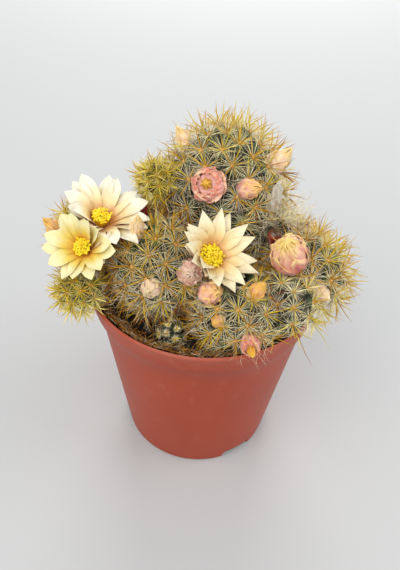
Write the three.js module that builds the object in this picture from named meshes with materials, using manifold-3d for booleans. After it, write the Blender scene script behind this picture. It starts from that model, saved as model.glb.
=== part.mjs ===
// A clump-forming nipple cactus in a small tapered plastic nursery pot.
// Millimetres, +Z up. The origin is the centre of the pot's underside, on its pot axis.
// The plant is a cluster of round stems of different ages. Each stem is one grown body: its nipples
// (tubercles) follow the golden-angle spiral and each nipple carries a spine. Flowers, buds and fruits grow
// from the grooves between the nipples and are pieces of their own.
import * as THREE from "three";
import { ConvexHull } from "three/addons/math/ConvexHull.js";
import { mergeVertices } from "three/addons/utils/BufferGeometryUtils.js";
import Module from "manifold-3d";

const wasm = await Module();
wasm.setup();
const { Manifold, Mesh } = wasm;

// ---- driving dimensions -------------------------------------------------------------------------------
const POT = {
  lipRadius: 27.5,
  height: 48,
  wall: 1.0,
  floor: 1.2,
  baseRadius: 18.75,
  baseChamfer: 0.6,
  neckRadius: 25.0, // where the tapered body ends
  neckHeight: 40.0,
  collarRadius: 26.8, // where the collar's sloping shoulder ends
  collarHeight: 42.75,
  sides: 48,
};
const DRAIN = { count: 3, firstAngle: -54, width: 9, topWidth: 7.4, height: 2.8, innerRadius: 15.5 };
const SOIL_TOP = 43.6;
const SOIL_CROWN = 0.5; // how much higher the soil stands in the middle
const GAP = 0.3; // between neighbouring pieces
const SLIVER = 0.06; // faces thinner than this are merged into their neighbours
const GOLDEN_ANGLE = Math.PI * (3 - Math.sqrt(5));

// Stems: centre, radius across, half height along the lean direction, number of nipples, spine length, and
// root, where the narrower neck under the round head starts: in the soil, or in the side of an older stem.
const STEMS = {
  stem_main: {
    centre: [3.2, 11, 63.8], radius: 14.2, half: 16.8, lean: [0.08, 0.05, 1], nipples: 56,
    spine: 5.5, root: [4, 8, 43],
  },
  stem_left: {
    centre: [-10.2, -5.5, 54.3], radius: 10.8, half: 11, lean: [-0.35, -0.05, 1], nipples: 36,
    spine: 4.5, root: [-8, -4.5, 43],
  },
  stem_right: {
    centre: [22.6, -3.6, 53.8], radius: 10.0, half: 8.6, lean: [0.6, 0, 1], nipples: 34,
    spine: 5, root: [17.5, -3, 43],
  },
  stem_front: {
    centre: [7.9, -13.6, 48.8], radius: 10.4, half: 9.6, lean: [0.1, -0.1, 1], nipples: 34,
    spine: 4.5, root: [7.5, -12.5, 43],
  },
  stem_far_left: {
    centre: [-25.5, -0.5, 57.5], radius: 8.6, half: 8.8, lean: [-0.4, 0, 1], nipples: 28,
    spine: 4, root: [-18.5, 0, 43],
  },
  stem_back_right: {
    centre: [20.2, 10.6, 48.2], radius: 8.6, half: 8.6, lean: [0.3, 0.4, 1], nipples: 28,
    spine: 4, root: [15.5, 10, 43],
  },
  stem_back_left: {
    centre: [-13, 13, 49.5], radius: 8.6, half: 9, lean: [-0.25, 0.3, 1], nipples: 28,
    spine: 4, root: [-10.5, 11, 43],
  },
  stem_front_right: {
    centre: [18.6, -12.5, 51.8], radius: 7.2, half: 7.2, lean: [0.4, -0.5, 1], nipples: 24,
    spine: 3.5, root: [15.5, -10.5, 43],
  },
  stem_woolly: {
    centre: [15, 1.8, 59.5], radius: 5.2, half: 6.2, lean: [0.15, -0.1, 1], nipples: 18,
    spine: 3, root: [13, 2.5, 43],
  },
  pup_main: {
    centre: [-11.6, 4.6, 70.2], radius: 4.2, half: 4.6, lean: [-0.7, -0.35, 0.6], nipples: 16,
    spine: 3, root: [-4, 7.5, 66],
  },
  pup_left: {
    centre: [-27.0, -12.6, 51.8], radius: 4.8, half: 5.2, lean: [-0.8, -0.4, 0.5], nipples: 16,
    spine: 3, root: [-20.5, -6.5, 47],
  },
  pup_soil: {
    centre: [-6.5, -18.2, 45.2], radius: 3.2, half: 3.6, lean: [0, -0.1, 1], nipples: 14,
    spine: 2, root: [-6.5, -17.5, 43],
  },
};

// Open flowers: throat is where the petals part; axis is the way the flower faces.
const OPEN_FLOWERS = {
  flower_centre: { throat: [0.3, -9.6, 60.5], axis: [0.39, -0.51, 0.76], size: 1.0, turn: 0.2 },
  flower_left_front: { throat: [-25.7, -10.8, 62.2], axis: [-0.22, -0.62, 0.75], size: 0.86, turn: 0.1 },
  flower_left_back: { throat: [-23.3, -5.0, 65.0], axis: [0.18, -0.15, 0.97], size: 0.95, turn: 0.5 },
};

// Closed and half-closed flowers: a bulb of folded petals with its crumpled heart in the mouth.
const CLOSED_FLOWERS = {
  flower_half_open: { foot: [18.6, -8.4, 59.4], axis: [-0.25, -0.45, 0.86], length: 10.5, radius: 3.6, mouth: 2.2 },
  flower_folded: { foot: [0.2, 1.9, 71.3], axis: [-0.22, -0.76, 0.6], length: 6.2, radius: 3.2, mouth: 2.0 },
  flower_faded: { foot: [9.6, -21.6, 50.0], axis: [0.12, -0.95, 0.1], length: 7.0, radius: 1.8, mouth: 1.2 },
};

// Buds and fruits: pointed or club-shaped single bodies. foot lies inside the stem that carries them.
const BUDS = {
  bud_main_side: { foot: [6.9, 1.2, 71.6], axis: [0.5, -0.7, 0.5], length: 7.4, radius: 1.9 },
  bud_main_top_left: { foot: [-5.2, 12.4, 74.6], axis: [-0.5, 0.05, 0.82], length: 6.2, radius: 1.7 },
  bud_main_top_right: { foot: [12.8, 8.7, 72.6], axis: [0.58, -0.1, 0.78], length: 7.6, radius: 2.1 },
  bud_left_low: { foot: [-11.2, -13.9, 55.6], axis: [-0.1, -0.9, 0.42], length: 5.6, radius: 1.9 },
  bud_left_tall: { foot: [-15.4, -6.2, 62.4], axis: [0.1, -0.3, 0.95], length: 8.0, radius: 1.5 },
  bud_left_faded: { foot: [-3.7, -11.0, 57.6], axis: [0.2, -0.8, 0.55], length: 4.8, radius: 2.5 },
  bud_far_left: { foot: [-31.8, -4.0, 60.6], axis: [-0.6, -0.2, 0.75], length: 6.4, radius: 1.6 },
  bud_far_left_high: { foot: [-22.4, 3.4, 63.2], axis: [0.1, 0.2, 0.97], length: 6.6, radius: 1.3 },
  bud_front_left: { foot: [0.4, -15.0, 55.0], axis: [0.42, -0.6, 0.66], length: 6.6, radius: 2.2 },
  bud_front_tall: { foot: [10.2, -15.6, 55.6], axis: [0.3, -0.35, 0.89], length: 6.8, radius: 1.6 },
  bud_front_small: { foot: [3.8, -19.6, 52.0], axis: [-0.4, -0.8, 0.5], length: 4.4, radius: 1.2 },
  bud_right_low: { foot: [24.2, -11.0, 54.9], axis: [0.45, -0.85, 0.2], length: 5.4, radius: 1.6 },
  bud_back: { foot: [6.5, 23.6, 66.5], axis: [0.1, 0.85, 0.5], length: 7.6, radius: 1.9 },
};
const FRUITS = {
  fruit_inner_right: { foot: [14.2, -1.4, 58.6], axis: [0.1, -0.35, 0.92], length: 6.2, radius: 1.5 },
  fruit_back_right: { foot: [22.4, 8.2, 54.0], axis: [0.1, -0.15, 0.98], length: 5.6, radius: 1.4 },
  fruit_left: { foot: [-13.4, -0.6, 61.4], axis: [-0.35, 0.2, 0.9], length: 5.8, radius: 1.4 },
  fruit_back: { foot: [-12.6, 20.6, 54.0], axis: [-0.2, 0.7, 0.68], length: 6.0, radius: 1.5 },
};

const COLOURS = {
  pot: { color: 0xa8503e, roughness: 0.55 },
  soil: { color: 0x2b211a, roughness: 1.0 },
  stem: { color: 0x51623f, roughness: 0.75 },
  petal: { color: 0xefe3bd, roughness: 0.5 },
  outerPetal: { color: 0xc98f78, roughness: 0.5 },
  stamen: { color: 0xf0c020, roughness: 0.6 },
  bud: { color: 0xdcae93, roughness: 0.55 },
  fruit: { color: 0x7a1622, roughness: 0.4 },
};

// ---- solids and their tools ---------------------------------------------------------------------------
// A three.js geometry as a manifold-3d solid, turned right side out if its profile ran the other way.
function solidOf(geometry) {
  const g = geometry.clone();
  g.deleteAttribute("normal");
  g.deleteAttribute("uv");
  const merged = mergeVertices(g, 1e-4);
  const triVerts = new Uint32Array(merged.index.array);
  const make = () => new Manifold(new Mesh({ numProp: 3, vertProperties: merged.attributes.position.array, triVerts }));
  const solid = make();
  if (solid.volume() > 0) return solid;
  for (let i = 0; i < triVerts.length; i += 3) {
    [triVerts[i + 1], triVerts[i + 2]] = [triVerts[i + 2], triVerts[i + 1]];
  }
  return make();
}

// A manifold-3d solid as a three.js geometry.
function geometryOf(solid) {
  const mesh = solid.getMesh();
  const g = new THREE.BufferGeometry();
  g.setAttribute("position", new THREE.BufferAttribute(new Float32Array(mesh.vertProperties), 3));
  g.setIndex(new THREE.BufferAttribute(new Uint32Array(mesh.triVerts), 1));
  g.computeVertexNormals();
  return g;
}

// The largest of a solid's separate bodies, so that spine tips cut loose by a neighbour are dropped. The
// slivers that cutting leaves are merged away.
function largestBody(solid) {
  const bodies = solid.decompose();
  return bodies.reduce((best, body) => (body.volume() > best.volume() ? body : best)).simplify(SLIVER);
}

// A profile of [radius, height] pairs, from axis to axis, turned round +Z.
function turned(profile, sides) {
  const points = profile.map(([radius, height]) => new THREE.Vector2(radius, height));
  return new THREE.LatheGeometry(points, sides).rotateX(Math.PI / 2);
}

const vector = ([x, y, z]) => new THREE.Vector3(x, y, z);

// Moves a geometry made along +Z so that its origin is at foot and its +Z lies along axis.
function placed(geometry, foot, axis, turn = 0) {
  const toward = new THREE.Quaternion().setFromUnitVectors(new THREE.Vector3(0, 0, 1), vector(axis).normalize());
  return geometry.rotateZ(turn).applyQuaternion(toward).translate(...foot);
}

// ---- pot and soil -------------------------------------------------------------------------------------
function potGeometry() {
  const p = POT;
  const lip = p.height - 0.6;
  const outer = [
    [0, 0],
    [p.baseRadius - p.baseChamfer, 0],
    [p.baseRadius, p.baseChamfer],
    [p.neckRadius, p.neckHeight],
    [p.collarRadius, p.collarHeight],
    [p.lipRadius, lip],
    [p.lipRadius - 0.2, p.height],
  ];
  const inner = [
    [p.lipRadius - p.wall, p.height],
    [p.collarRadius - p.wall, p.collarHeight + 0.3],
    [p.neckRadius - p.wall, p.neckHeight + 0.3],
    [p.baseRadius - p.wall + 0.1, p.floor],
    [0, p.floor],
  ];
  let pot = solidOf(turned([...outer, ...inner], p.sides));
  const reach = p.baseRadius + 2 - DRAIN.innerRadius;
  const arch = new THREE.Shape([
    new THREE.Vector2(-DRAIN.width / 2, -1),
    new THREE.Vector2(DRAIN.width / 2, -1),
    new THREE.Vector2(DRAIN.topWidth / 2, DRAIN.height),
    new THREE.Vector2(-DRAIN.topWidth / 2, DRAIN.height),
  ]);
  for (let i = 0; i < DRAIN.count; i++) {
    const angle = THREE.MathUtils.degToRad(DRAIN.firstAngle + (i * 360) / DRAIN.count);
    const cut = new THREE.ExtrudeGeometry(arch, { depth: reach, bevelEnabled: false });
    // The arch's own X, Y and depth become the tangent, up and outward directions.
    cut.rotateX(Math.PI / 2).rotateZ(Math.PI).translate(0, DRAIN.innerRadius, 0);
    cut.rotateZ(angle - Math.PI / 2);
    pot = pot.subtract(solidOf(cut));
  }
  return geometryOf(pot);
}

// The inner wall's radius at a height between the floor and the neck.
function innerRadiusAt(z) {
  const share = (z - POT.floor) / (POT.neckHeight - POT.floor);
  return POT.baseRadius - POT.wall + share * (POT.neckRadius - POT.baseRadius);
}

function soilGeometry() {
  const bottom = POT.floor + GAP;
  const rim = SOIL_TOP - 0.4;
  const collarInner = POT.collarRadius - POT.wall - 2 * GAP;
  return turned(
    [
      [0, bottom],
      [innerRadiusAt(bottom) - GAP, bottom],
      [innerRadiusAt(POT.neckHeight) - GAP, POT.neckHeight],
      [collarInner, rim],
      [collarInner * 0.6, SOIL_TOP + SOIL_CROWN * 0.6],
      [0, SOIL_TOP + SOIL_CROWN],
    ],
    POT.sides,
  );
}

// ---- stems --------------------------------------------------------------------------------------------
// A stem's surface in its own frame, +Z along its lean. share runs 0 at the crown to 1 at the foot.
function nipplePoint(stem, index) {
  const height = 1 - (2 * index + 1) / stem.nipples;
  const across = Math.sqrt(1 - height * height);
  const angle = index * GOLDEN_ANGLE;
  return new THREE.Vector3(
    stem.radius * across * Math.cos(angle),
    stem.radius * across * Math.sin(angle),
    stem.half * height,
  );
}

function outwardAt(stem, point) {
  const { radius, half } = stem;
  return new THREE.Vector3(point.x / radius ** 2, point.y / radius ** 2, point.z / half ** 2).normalize();
}

// The nippled body: the nipples' tips make a convex net, and the middle of each net face sinks into a groove.
function stemBody(stem) {
  const tips = Array.from({ length: stem.nipples }, (_, i) => nipplePoint(stem, i));
  const hull = new ConvexHull().setFromPoints(tips);
  const grooveDepth = 0.14 * stem.radius;
  const position = [];
  for (const face of hull.faces) {
    const corners = [face.edge.tail().point, face.edge.head().point, face.edge.next.head().point];
    const groove = new THREE.Vector3();
    corners.forEach((corner) => groove.addScaledVector(corner, 1 / 3));
    groove.addScaledVector(outwardAt(stem, groove), -grooveDepth * 0.6);
    corners.forEach((corner, i) => {
      const next = corners[(i + 1) % 3];
      position.push(...corner.toArray(), ...next.toArray(), ...groove.toArray());
    });
  }
  return new THREE.BufferGeometry().setAttribute("position", new THREE.Float32BufferAttribute(position, 3));
}

// One three-sided spine standing on each nipple of the stem's upper part.
function stemSpines(stem) {
  const lowest = 0.12;
  const spines = [];
  for (let i = 0; i < stem.nipples; i++) {
    if (1 - (2 * i + 1) / stem.nipples < lowest) break;
    const tip = nipplePoint(stem, i);
    const out = outwardAt(stem, tip);
    const sunk = 0.9;
    const spine = new THREE.ConeGeometry(0.42, stem.spine + sunk, 3).rotateX(Math.PI / 2);
    spine.translate(0, 0, (stem.spine + sunk) / 2);
    const foot = tip.clone().addScaledVector(out, -sunk);
    spines.push(solidOf(placed(spine, foot.toArray(), out.toArray(), i)));
  }
  return spines;
}

// How far the stem's body reaches from its centre along a world direction.
function reachAlong(stem, direction) {
  const lean = vector(stem.lean).normalize();
  const along = direction.dot(lean);
  const across = Math.sqrt(Math.max(0, 1 - along * along));
  return 1 / Math.hypot(across / stem.radius, along / stem.half);
}

// Stems that crowd each other meet on a flat face midway between their bodies.
function trimmedByNeighbours(solid, name) {
  const stem = STEMS[name];
  const here = vector(stem.centre);
  let left = solid;
  for (const [otherName, other] of Object.entries(STEMS)) {
    if (otherName === name) continue;
    const way = vector(other.centre).sub(here);
    const apart = way.length();
    way.normalize();
    const mine = reachAlong(stem, way);
    const theirs = reachAlong(other, way);
    if (apart > mine + theirs + stem.spine + other.spine) continue;
    const meeting = mine + (apart - mine - theirs) / 2 - GAP / 2;
    const outward = way.clone().negate();
    left = left.trimByPlane(outward.toArray(), outward.dot(here) - meeting);
  }
  return left;
}

// The neck from the stem's root up into its round head.
function stemNeck(stem) {
  const root = vector(stem.root);
  const way = vector(stem.centre).sub(root);
  const neck = turned([[0, 0], [stem.radius * 0.6, 0], [stem.radius * 0.72, way.length()], [0, way.length()]], 10);
  return solidOf(placed(neck, stem.root, way.toArray()));
}

function stemSolid(name, cutters) {
  const stem = STEMS[name];
  const head = Manifold.union([solidOf(stemBody(stem)), ...stemSpines(stem)]);
  let solid = solidOf(placed(geometryOf(head), stem.centre, stem.lean)).add(stemNeck(stem));
  solid = trimmedByNeighbours(solid, name);
  solid = solid.trimByPlane([0, 0, 1], SOIL_TOP + SOIL_CROWN + GAP);
  return largestBody(solid.subtract(cutters));
}

// ---- flowers ------------------------------------------------------------------------------------------
const TUBE = { length: 7.5, footRadius: 1.3, topRadius: 1.9 };
const WHORLS = {
  outer: { count: 8, rows: 2, start: [1.1, -2.0], middle: [5.2, -0.2], tip: [9.4, 2.6], width: 3.0, turn: 0.2 },
  inner: { count: 8, rows: 3, start: [1.1, -0.7], middle: [4.4, 2.0], tip: [8.9, 5.4], width: 3.6, turn: 0 },
};
const PETAL_THICKNESS = 0.45;

// A petal: a pointed strip along a bowed midline, widest beyond its middle, closed all round.
function petalGeometry({ rows, start, middle, tip, width }, size) {
  const top = [];
  const bottom = [];
  for (let row = 0; row <= rows; row++) {
    const t = row / rows;
    const bow = (a, b, c) => (1 - t) ** 2 * a + 2 * t * (1 - t) * b + t * t * c;
    const radius = bow(start[0], middle[0], tip[0]) * size;
    const height = bow(start[1], middle[1], tip[1]) * size;
    const half = Math.max(0.12, (width / 2) * Math.sin(Math.PI * Math.min(0.97, 0.12 + 0.86 * t))) * size;
    const cup = 0.22 * half;
    const line = [
      new THREE.Vector3(radius, -half, height + cup),
      new THREE.Vector3(radius, 0, height),
      new THREE.Vector3(radius, half, height + cup),
    ];
    top.push(line);
    bottom.push(line.map((p) => p.clone().add(new THREE.Vector3(0, 0, -PETAL_THICKNESS))));
  }
  const position = [];
  const quad = (a, b, c, d) => [a, b, c, a, c, d].forEach((p) => position.push(...p.toArray()));
  for (let row = 0; row < rows; row++) {
    for (let col = 0; col < 2; col++) {
      quad(top[row][col], top[row + 1][col], top[row + 1][col + 1], top[row][col + 1]);
      quad(bottom[row][col], bottom[row][col + 1], bottom[row + 1][col + 1], bottom[row + 1][col]);
    }
    quad(top[row][0], bottom[row][0], bottom[row + 1][0], top[row + 1][0]);
    quad(top[row][2], top[row + 1][2], bottom[row + 1][2], bottom[row][2]);
  }
  for (let col = 0; col < 2; col++) {
    quad(top[0][col], top[0][col + 1], bottom[0][col + 1], bottom[0][col]);
    quad(top[rows][col], bottom[rows][col], bottom[rows][col + 1], top[rows][col + 1]);
  }
  return new THREE.BufferGeometry().setAttribute("position", new THREE.Float32BufferAttribute(position, 3));
}

// A ring of petals grown together with the disc or tube that carries them.
function whorlSolid(whorl, seatProfile, size) {
  const seat = solidOf(turned(seatProfile, 10));
  const petals = Array.from({ length: whorl.count }, (_, i) =>
    solidOf(petalGeometry(whorl, size).rotateZ(whorl.turn + (i * 2 * Math.PI) / whorl.count)),
  );
  return Manifold.union([seat, ...petals]);
}

// Stamens: a disc with a ring of splayed filaments, each ending in a pollen-laden anther.
function stamenSolid(size) {
  const parts = [solidOf(turned([[0, 0.15], [1.1, 0.15], [1.1, 0.6], [0, 0.6]], 10))];
  const count = 8;
  for (let i = 0; i < count; i++) {
    const splay = i % 2 ? 0.62 : 0.38;
    const filament = new THREE.CylinderGeometry(0.18, 0.24, 3.0, 3).rotateX(Math.PI / 2).translate(0, 0, 1.5);
    const anther = new THREE.OctahedronGeometry(0.5).translate(0, 0, 3.1);
    for (const geometry of [filament, anther]) {
      geometry.rotateY(splay).translate(0.75, 0, 0.35).rotateZ((i * 2 * Math.PI) / count);
      parts.push(solidOf(geometry));
    }
  }
  return Manifold.union(parts).scale([size, size, size]);
}

// Pistil: a slender style with a small star of stigma lobes.
function pistilSolid(size) {
  const parts = [solidOf(turned([[0, 0.95], [0.2, 0.95], [0.24, 3.6], [0, 3.8]], 6))];
  const lobes = 4;
  for (let i = 0; i < lobes; i++) {
    const lobe = new THREE.ConeGeometry(0.18, 0.9, 3).rotateX(Math.PI / 2).translate(0, 0, 0.4);
    lobe.rotateY(0.7).translate(0, 0, 3.5).rotateZ((i * 2 * Math.PI) / lobes);
    parts.push(solidOf(lobe));
  }
  return Manifold.union(parts).scale([size, size, size]);
}

// The space an open flower takes, a gap wider than its petals all round.
function flowerEnvelope({ throat, axis, size }) {
  const s = size;
  const profile = [
    [0, -TUBE.length - GAP],
    [TUBE.footRadius + GAP, -TUBE.length - GAP],
    [TUBE.topRadius + GAP, -2.6 * s],
    [5.4 * s, -1.5 * s],
    [9.9 * s, 1.5 * s],
    [9.9 * s, 6.8 * s],
    [0, 6.8 * s],
  ];
  return solidOf(placed(turned(profile, 12), throat, axis));
}

// ---- buds, fruits and closed flowers ------------------------------------------------------------------
const budProfile = (length, radius) => [
  [0, 0],
  [radius * 0.5, 0],
  [radius * 0.86, length * 0.22],
  [radius, length * 0.45],
  [radius * 0.8, length * 0.7],
  [radius * 0.34, length * 0.9],
  [0, length],
];

const fruitProfile = (length, radius) => [
  [0, 0],
  [radius * 0.4, 0],
  [radius * 0.75, length * 0.4],
  [radius, length * 0.75],
  [radius * 0.7, length * 0.95],
  [0, length],
];

const bulbProfile = ({ length, radius, mouth }) => [
  [0, 0],
  [radius * 0.4, 0],
  [radius * 0.9, length * 0.3],
  [radius, length * 0.55],
  [radius * 0.85, length * 0.85],
  [mouth, length],
  [mouth * 0.75, length * 0.82],
  [0, length * 0.66],
];

const heartProfile = ({ length, mouth }) => [
  [0, length * 0.66 + GAP],
  [mouth * 0.66, length * 0.82 + GAP * 1.4],
  [mouth * 0.72, length * 1.02],
  [0, length * 1.12],
];

const grown = (profile, { foot, axis }, sides = 8) => solidOf(placed(turned(profile, sides), foot, axis));

function widened(profile) {
  return profile.map(([radius, height], i) => {
    const lift = i === 0 || i === 1 ? -GAP : height > 0 && radius === 0 ? GAP : 0;
    return [radius === 0 ? 0 : radius + GAP * 1.15, height + lift];
  });
}

// ---- assembly -----------------------------------------------------------------------------------------
const solids = new Map(); // node name -> [solid, colour name]
const keep = (name, solid, colour) => solids.set(name, [solid, colour]);
const cutters = []; // what the stems leave room for

for (const [name, bud] of Object.entries(BUDS)) {
  keep(name, grown(budProfile(bud.length, bud.radius), bud), "bud");
  cutters.push(grown(widened(budProfile(bud.length, bud.radius)), bud));
}
for (const [name, fruit] of Object.entries(FRUITS)) {
  keep(name, grown(fruitProfile(fruit.length, fruit.radius), fruit), "fruit");
  cutters.push(grown(widened(fruitProfile(fruit.length, fruit.radius)), fruit));
}
for (const [name, bulb] of Object.entries(CLOSED_FLOWERS)) {
  keep(`${name}_petals`, grown(bulbProfile(bulb), bulb, 10), "outerPetal");
  keep(`${name}_heart`, grown(heartProfile(bulb), bulb, 8), "stamen");
  const room = bulbProfile(bulb).slice(0, 6);
  cutters.push(grown(widened([...room, [0, bulb.length * 1.15]]), bulb, 10));
}
const grownSoFar = Manifold.union(cutters);

const envelopes = [];
for (const [name, flower] of Object.entries(OPEN_FLOWERS)) {
  const { size } = flower;
  const outerSeat = [[0, -TUBE.length], [TUBE.footRadius, -TUBE.length], [TUBE.topRadius, -2.2], [1.5, -1.6], [0, -1.6]];
  const innerSeat = [[0, -1.2], [1.3, -1.2], [1.6, -0.5], [0, -0.35]];
  const pieces = {
    outer_petals: [whorlSolid(WHORLS.outer, outerSeat, size), "outerPetal"],
    inner_petals: [whorlSolid(WHORLS.inner, innerSeat, size), "petal"],
    stamens: [stamenSolid(size), "stamen"],
    pistil: [pistilSolid(size), "stamen"],
  };
  const others = [grownSoFar, ...envelopes];
  for (const [part, [solid, colour]] of Object.entries(pieces)) {
    let made = solidOf(placed(geometryOf(solid), flower.throat, flower.axis, flower.turn));
    for (const other of others) made = made.subtract(other);
    keep(`${name}_${part}`, largestBody(made), colour);
  }
  envelopes.push(flowerEnvelope(flower));
}

const rimRoom = solidOf(
  turned(
    [
      [POT.neckRadius - POT.wall - GAP, POT.neckHeight - 2],
      [POT.lipRadius + GAP + 0.2, POT.neckHeight - 2],
      [POT.lipRadius + GAP + 0.2, POT.height + GAP],
      [POT.lipRadius - POT.wall - GAP - 0.2, POT.height + GAP],
      [POT.neckRadius - POT.wall - GAP, POT.neckHeight - 2],
    ],
    POT.sides,
  ),
);
const room = Manifold.union([grownSoFar, ...envelopes, rimRoom]);
for (const name of Object.keys(STEMS)) {
  keep(name, stemSolid(name, room), "stem");
}

const cactus = new THREE.Group();
cactus.name = "potted_cactus";
const materials = Object.fromEntries(
  Object.entries(COLOURS).map(([name, look]) => [name, new THREE.MeshStandardMaterial({ ...look, metalness: 0 })]),
);
function add(name, geometry, colour) {
  const mesh = new THREE.Mesh(geometry, materials[colour]);
  mesh.name = name;
  cactus.add(mesh);
}
add("pot", potGeometry(), "pot");
add("soil", soilGeometry(), "soil");
for (const [name, [solid, colour]] of solids) {
  add(name, geometryOf(solid), colour);
}

export default cactus;
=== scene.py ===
"""A clump-forming nipple cactus in a small plastic nursery pot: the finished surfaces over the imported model.

Lengths are in millimetres in the tables and the shape functions, and meshes are scaled to metres when made.
The plant's places and sizes repeat those of the CAD solids that the pieces here stand for.
"""

import math

import bpy
import numpy as np
from mathutils import Matrix, Vector


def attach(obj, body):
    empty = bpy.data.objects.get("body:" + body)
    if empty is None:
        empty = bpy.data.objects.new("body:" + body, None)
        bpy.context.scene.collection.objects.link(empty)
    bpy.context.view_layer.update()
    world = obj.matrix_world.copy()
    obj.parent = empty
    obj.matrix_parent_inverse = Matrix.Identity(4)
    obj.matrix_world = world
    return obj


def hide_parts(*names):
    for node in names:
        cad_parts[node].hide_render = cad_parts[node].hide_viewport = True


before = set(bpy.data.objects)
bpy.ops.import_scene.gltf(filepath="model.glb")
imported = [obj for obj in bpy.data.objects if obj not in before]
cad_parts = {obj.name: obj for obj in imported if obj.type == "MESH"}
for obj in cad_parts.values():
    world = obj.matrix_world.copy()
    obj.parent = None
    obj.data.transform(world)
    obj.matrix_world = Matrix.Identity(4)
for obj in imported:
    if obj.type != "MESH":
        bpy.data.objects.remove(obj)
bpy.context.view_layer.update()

MM = 0.001
GOLDEN_ANGLE = math.pi * (3 - math.sqrt(5))
TONE_COLUMNS = 48  # on a strand's map
rng = np.random.default_rng(7)

# ---- sizes and places ---------------------------------------------------------------------------------
def sheet(keys, **rows):
    """A table of dictionaries: each named row's numbers under the keys."""
    return {name: dict(zip(keys.split(), row)) for name, row in rows.items()}


POT = dict(
    lip_radius=27.5, height=48.0, wall=1.0, floor=1.2, base_radius=18.75, base_chamfer=0.6,
    neck_radius=25.0, neck_height=40.0, collar_radius=26.8, collar_height=42.75,
)
DRAIN = dict(first=-54.0, count=3, width=9.0, top_width=7.4, height=2.8, inner_radius=15.5)
SOIL_TOP, SOIL_CROWN = 43.6, 0.5
SOIL_EDGE, WALL_FROM = 26, 38  # the soil's radius, and the height from which the wall is kept clear
AREA_POWER = 1.6  # of the usual formula for an ellipsoid's area
HEXAGON = 0.866  # a six-sided cell's area over the square of its width
GROOVE_DEPTH, NIPPLE_REACH = 0.42, 0.62  # shares of the spacing of nipples

# centre, radius, half height and lean are the CAD stem's. spacing is the distance between nipples, radial and
# central the spine lengths, gold the share of golden spines, centrals the number of central spines at a nipple,
# tint a shift of the radials' tone, and wool the amount of white hair in the grooves.
STEMS = sheet(
    "centre radius half lean root spacing radial central gold centrals tint wool",
    stem_main=((3.2, 11, 63.8), 14.2, 16.8, (0.08, 0.05, 1), (4, 8, 43), 5.2, 4.3, 5.6, 0.75, 5, 0.0, 0.6),
    stem_left=((-10.2, -5.5, 54.3), 10.8, 11, (-0.35, -0.05, 1), (-8, -4.5, 43), 4.8, 4.0, 5.9, 1.0, 7, -0.02, 1.7),
    stem_right=((22.6, -3.6, 53.8), 10.0, 8.6, (0.6, 0, 1), (17.5, -3, 43), 4.7, 4.0, 5.4, 0.9, 7, 0.0, 0.6),
    stem_front=((7.9, -13.6, 48.8), 10.4, 9.6, (0.1, -0.1, 1), (7.5, -12.5, 43), 4.5, 3.8, 4.6, 0.75, 6, 0.0, 1.0),
    stem_far_left=((-25.5, -0.5, 57.5), 8.6, 8.8, (-0.4, 0, 1), (-18.5, 0, 43), 4.1, 3.4, 4.2, 0.7, 5, -0.1, 0.6),
    stem_back_right=((20.2, 10.6, 48.2), 8.6, 8.6, (0.3, 0.4, 1), (15.5, 10, 43), 4.2, 3.0, 3.6, 0.5, 4, 0.08, 1.0),
    stem_back_left=((-13, 13, 49.5), 8.6, 9, (-0.25, 0.3, 1), (-10.5, 11, 43), 4.2, 3.4, 4.8, 0.6, 5, 0.0, 0.6),
    stem_front_right=((18.6, -12.5, 51.8), 7.2, 7.2, (0.4, -0.5, 1), (15.5, -10.5, 43), 4.1, 3.4, 4.2, 0.35, 4, 0.0,
                      0.8),
    stem_woolly=((15, 1.8, 59.5), 5.2, 6.2, (0.15, -0.1, 1), (13, 2.5, 43), 3.4, 3.4, 3.4, 0.1, 2, 0.16, 6.5),
    pup_main=((-11.6, 4.6, 70.2), 4.2, 4.6, (-0.7, -0.35, 0.6), (-4, 7.5, 66), 2.7, 2.5, 3.6, 0.15, 4, -0.2, 0.2),
    pup_left=((-27.0, -12.6, 51.8), 4.8, 5.2, (-0.8, -0.4, 0.5), (-20.5, -6.5, 47), 3.0, 2.7, 3.8, 0.35, 4, -0.16,
              0.3),
    pup_soil=((-6.5, -18.2, 45.2), 3.2, 3.6, (0, -0.1, 1), (-6.5, -17.5, 43), 2.4, 1.1, 1.3, 0.5, 3, 0.05, 0.2),
)
# The age, from 0 at the crown to 1 at the foot, past which nipples have no spines.
SPINED_TO, SPINED_TO_ON = 0.84, dict(pup_main=0.56)

# throat and axis are the CAD flower's. petals is the number in each of the two inner rings, widest where along
# its length a petal is widest, sharpness how blunt its tip is, and tuft how wide the stamens spread. reach and
# lift are shares of the petals' usual reach and height at eight directions round the flower, counted from its
# right-hand side towards the back.
OPEN_FLOWERS = sheet(
    "throat axis size turn petals widest sharpness tuft reach lift",
    flower_centre=((0.3, -9.6, 60.5), (0.39, -0.51, 0.76), 1.0, 0.1, 8, 0.6, 1.5, 1.25,
                   (1.12, 1.12, 1.08, 0.95, 0.84, 0.66, 0.76, 0.98),
                   (0.9, 0.95, 1, 1.1, 1.25, 1.35, 1.15, 0.95)),
    flower_left_front=((-25.7, -10.8, 62.2), (-0.22, -0.62, 0.75), 0.86, 0.1, 7, 0.66, 3.2, 1.0,
                       (0.94, 0.55, 0.72, 0.98, 1.02, 0.94, 0.9, 0.96),
                       (0.9, 1.6, 1.35, 1.0, 0.8, 0.6, 0.5, 0.7)),
    flower_left_back=((-23.3, -5.0, 65.0), (0.18, -0.15, 0.97), 0.95, 0.5, 8, 0.64, 2.8, 1.0,
                      (1.12, 1.14, 1.18, 1.16, 0.84, 0.66, 0.8, 1.06),
                      (0.85, 1, 1.0, 1, 1, 0.9, 0.55, 0.5)),
)

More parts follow.
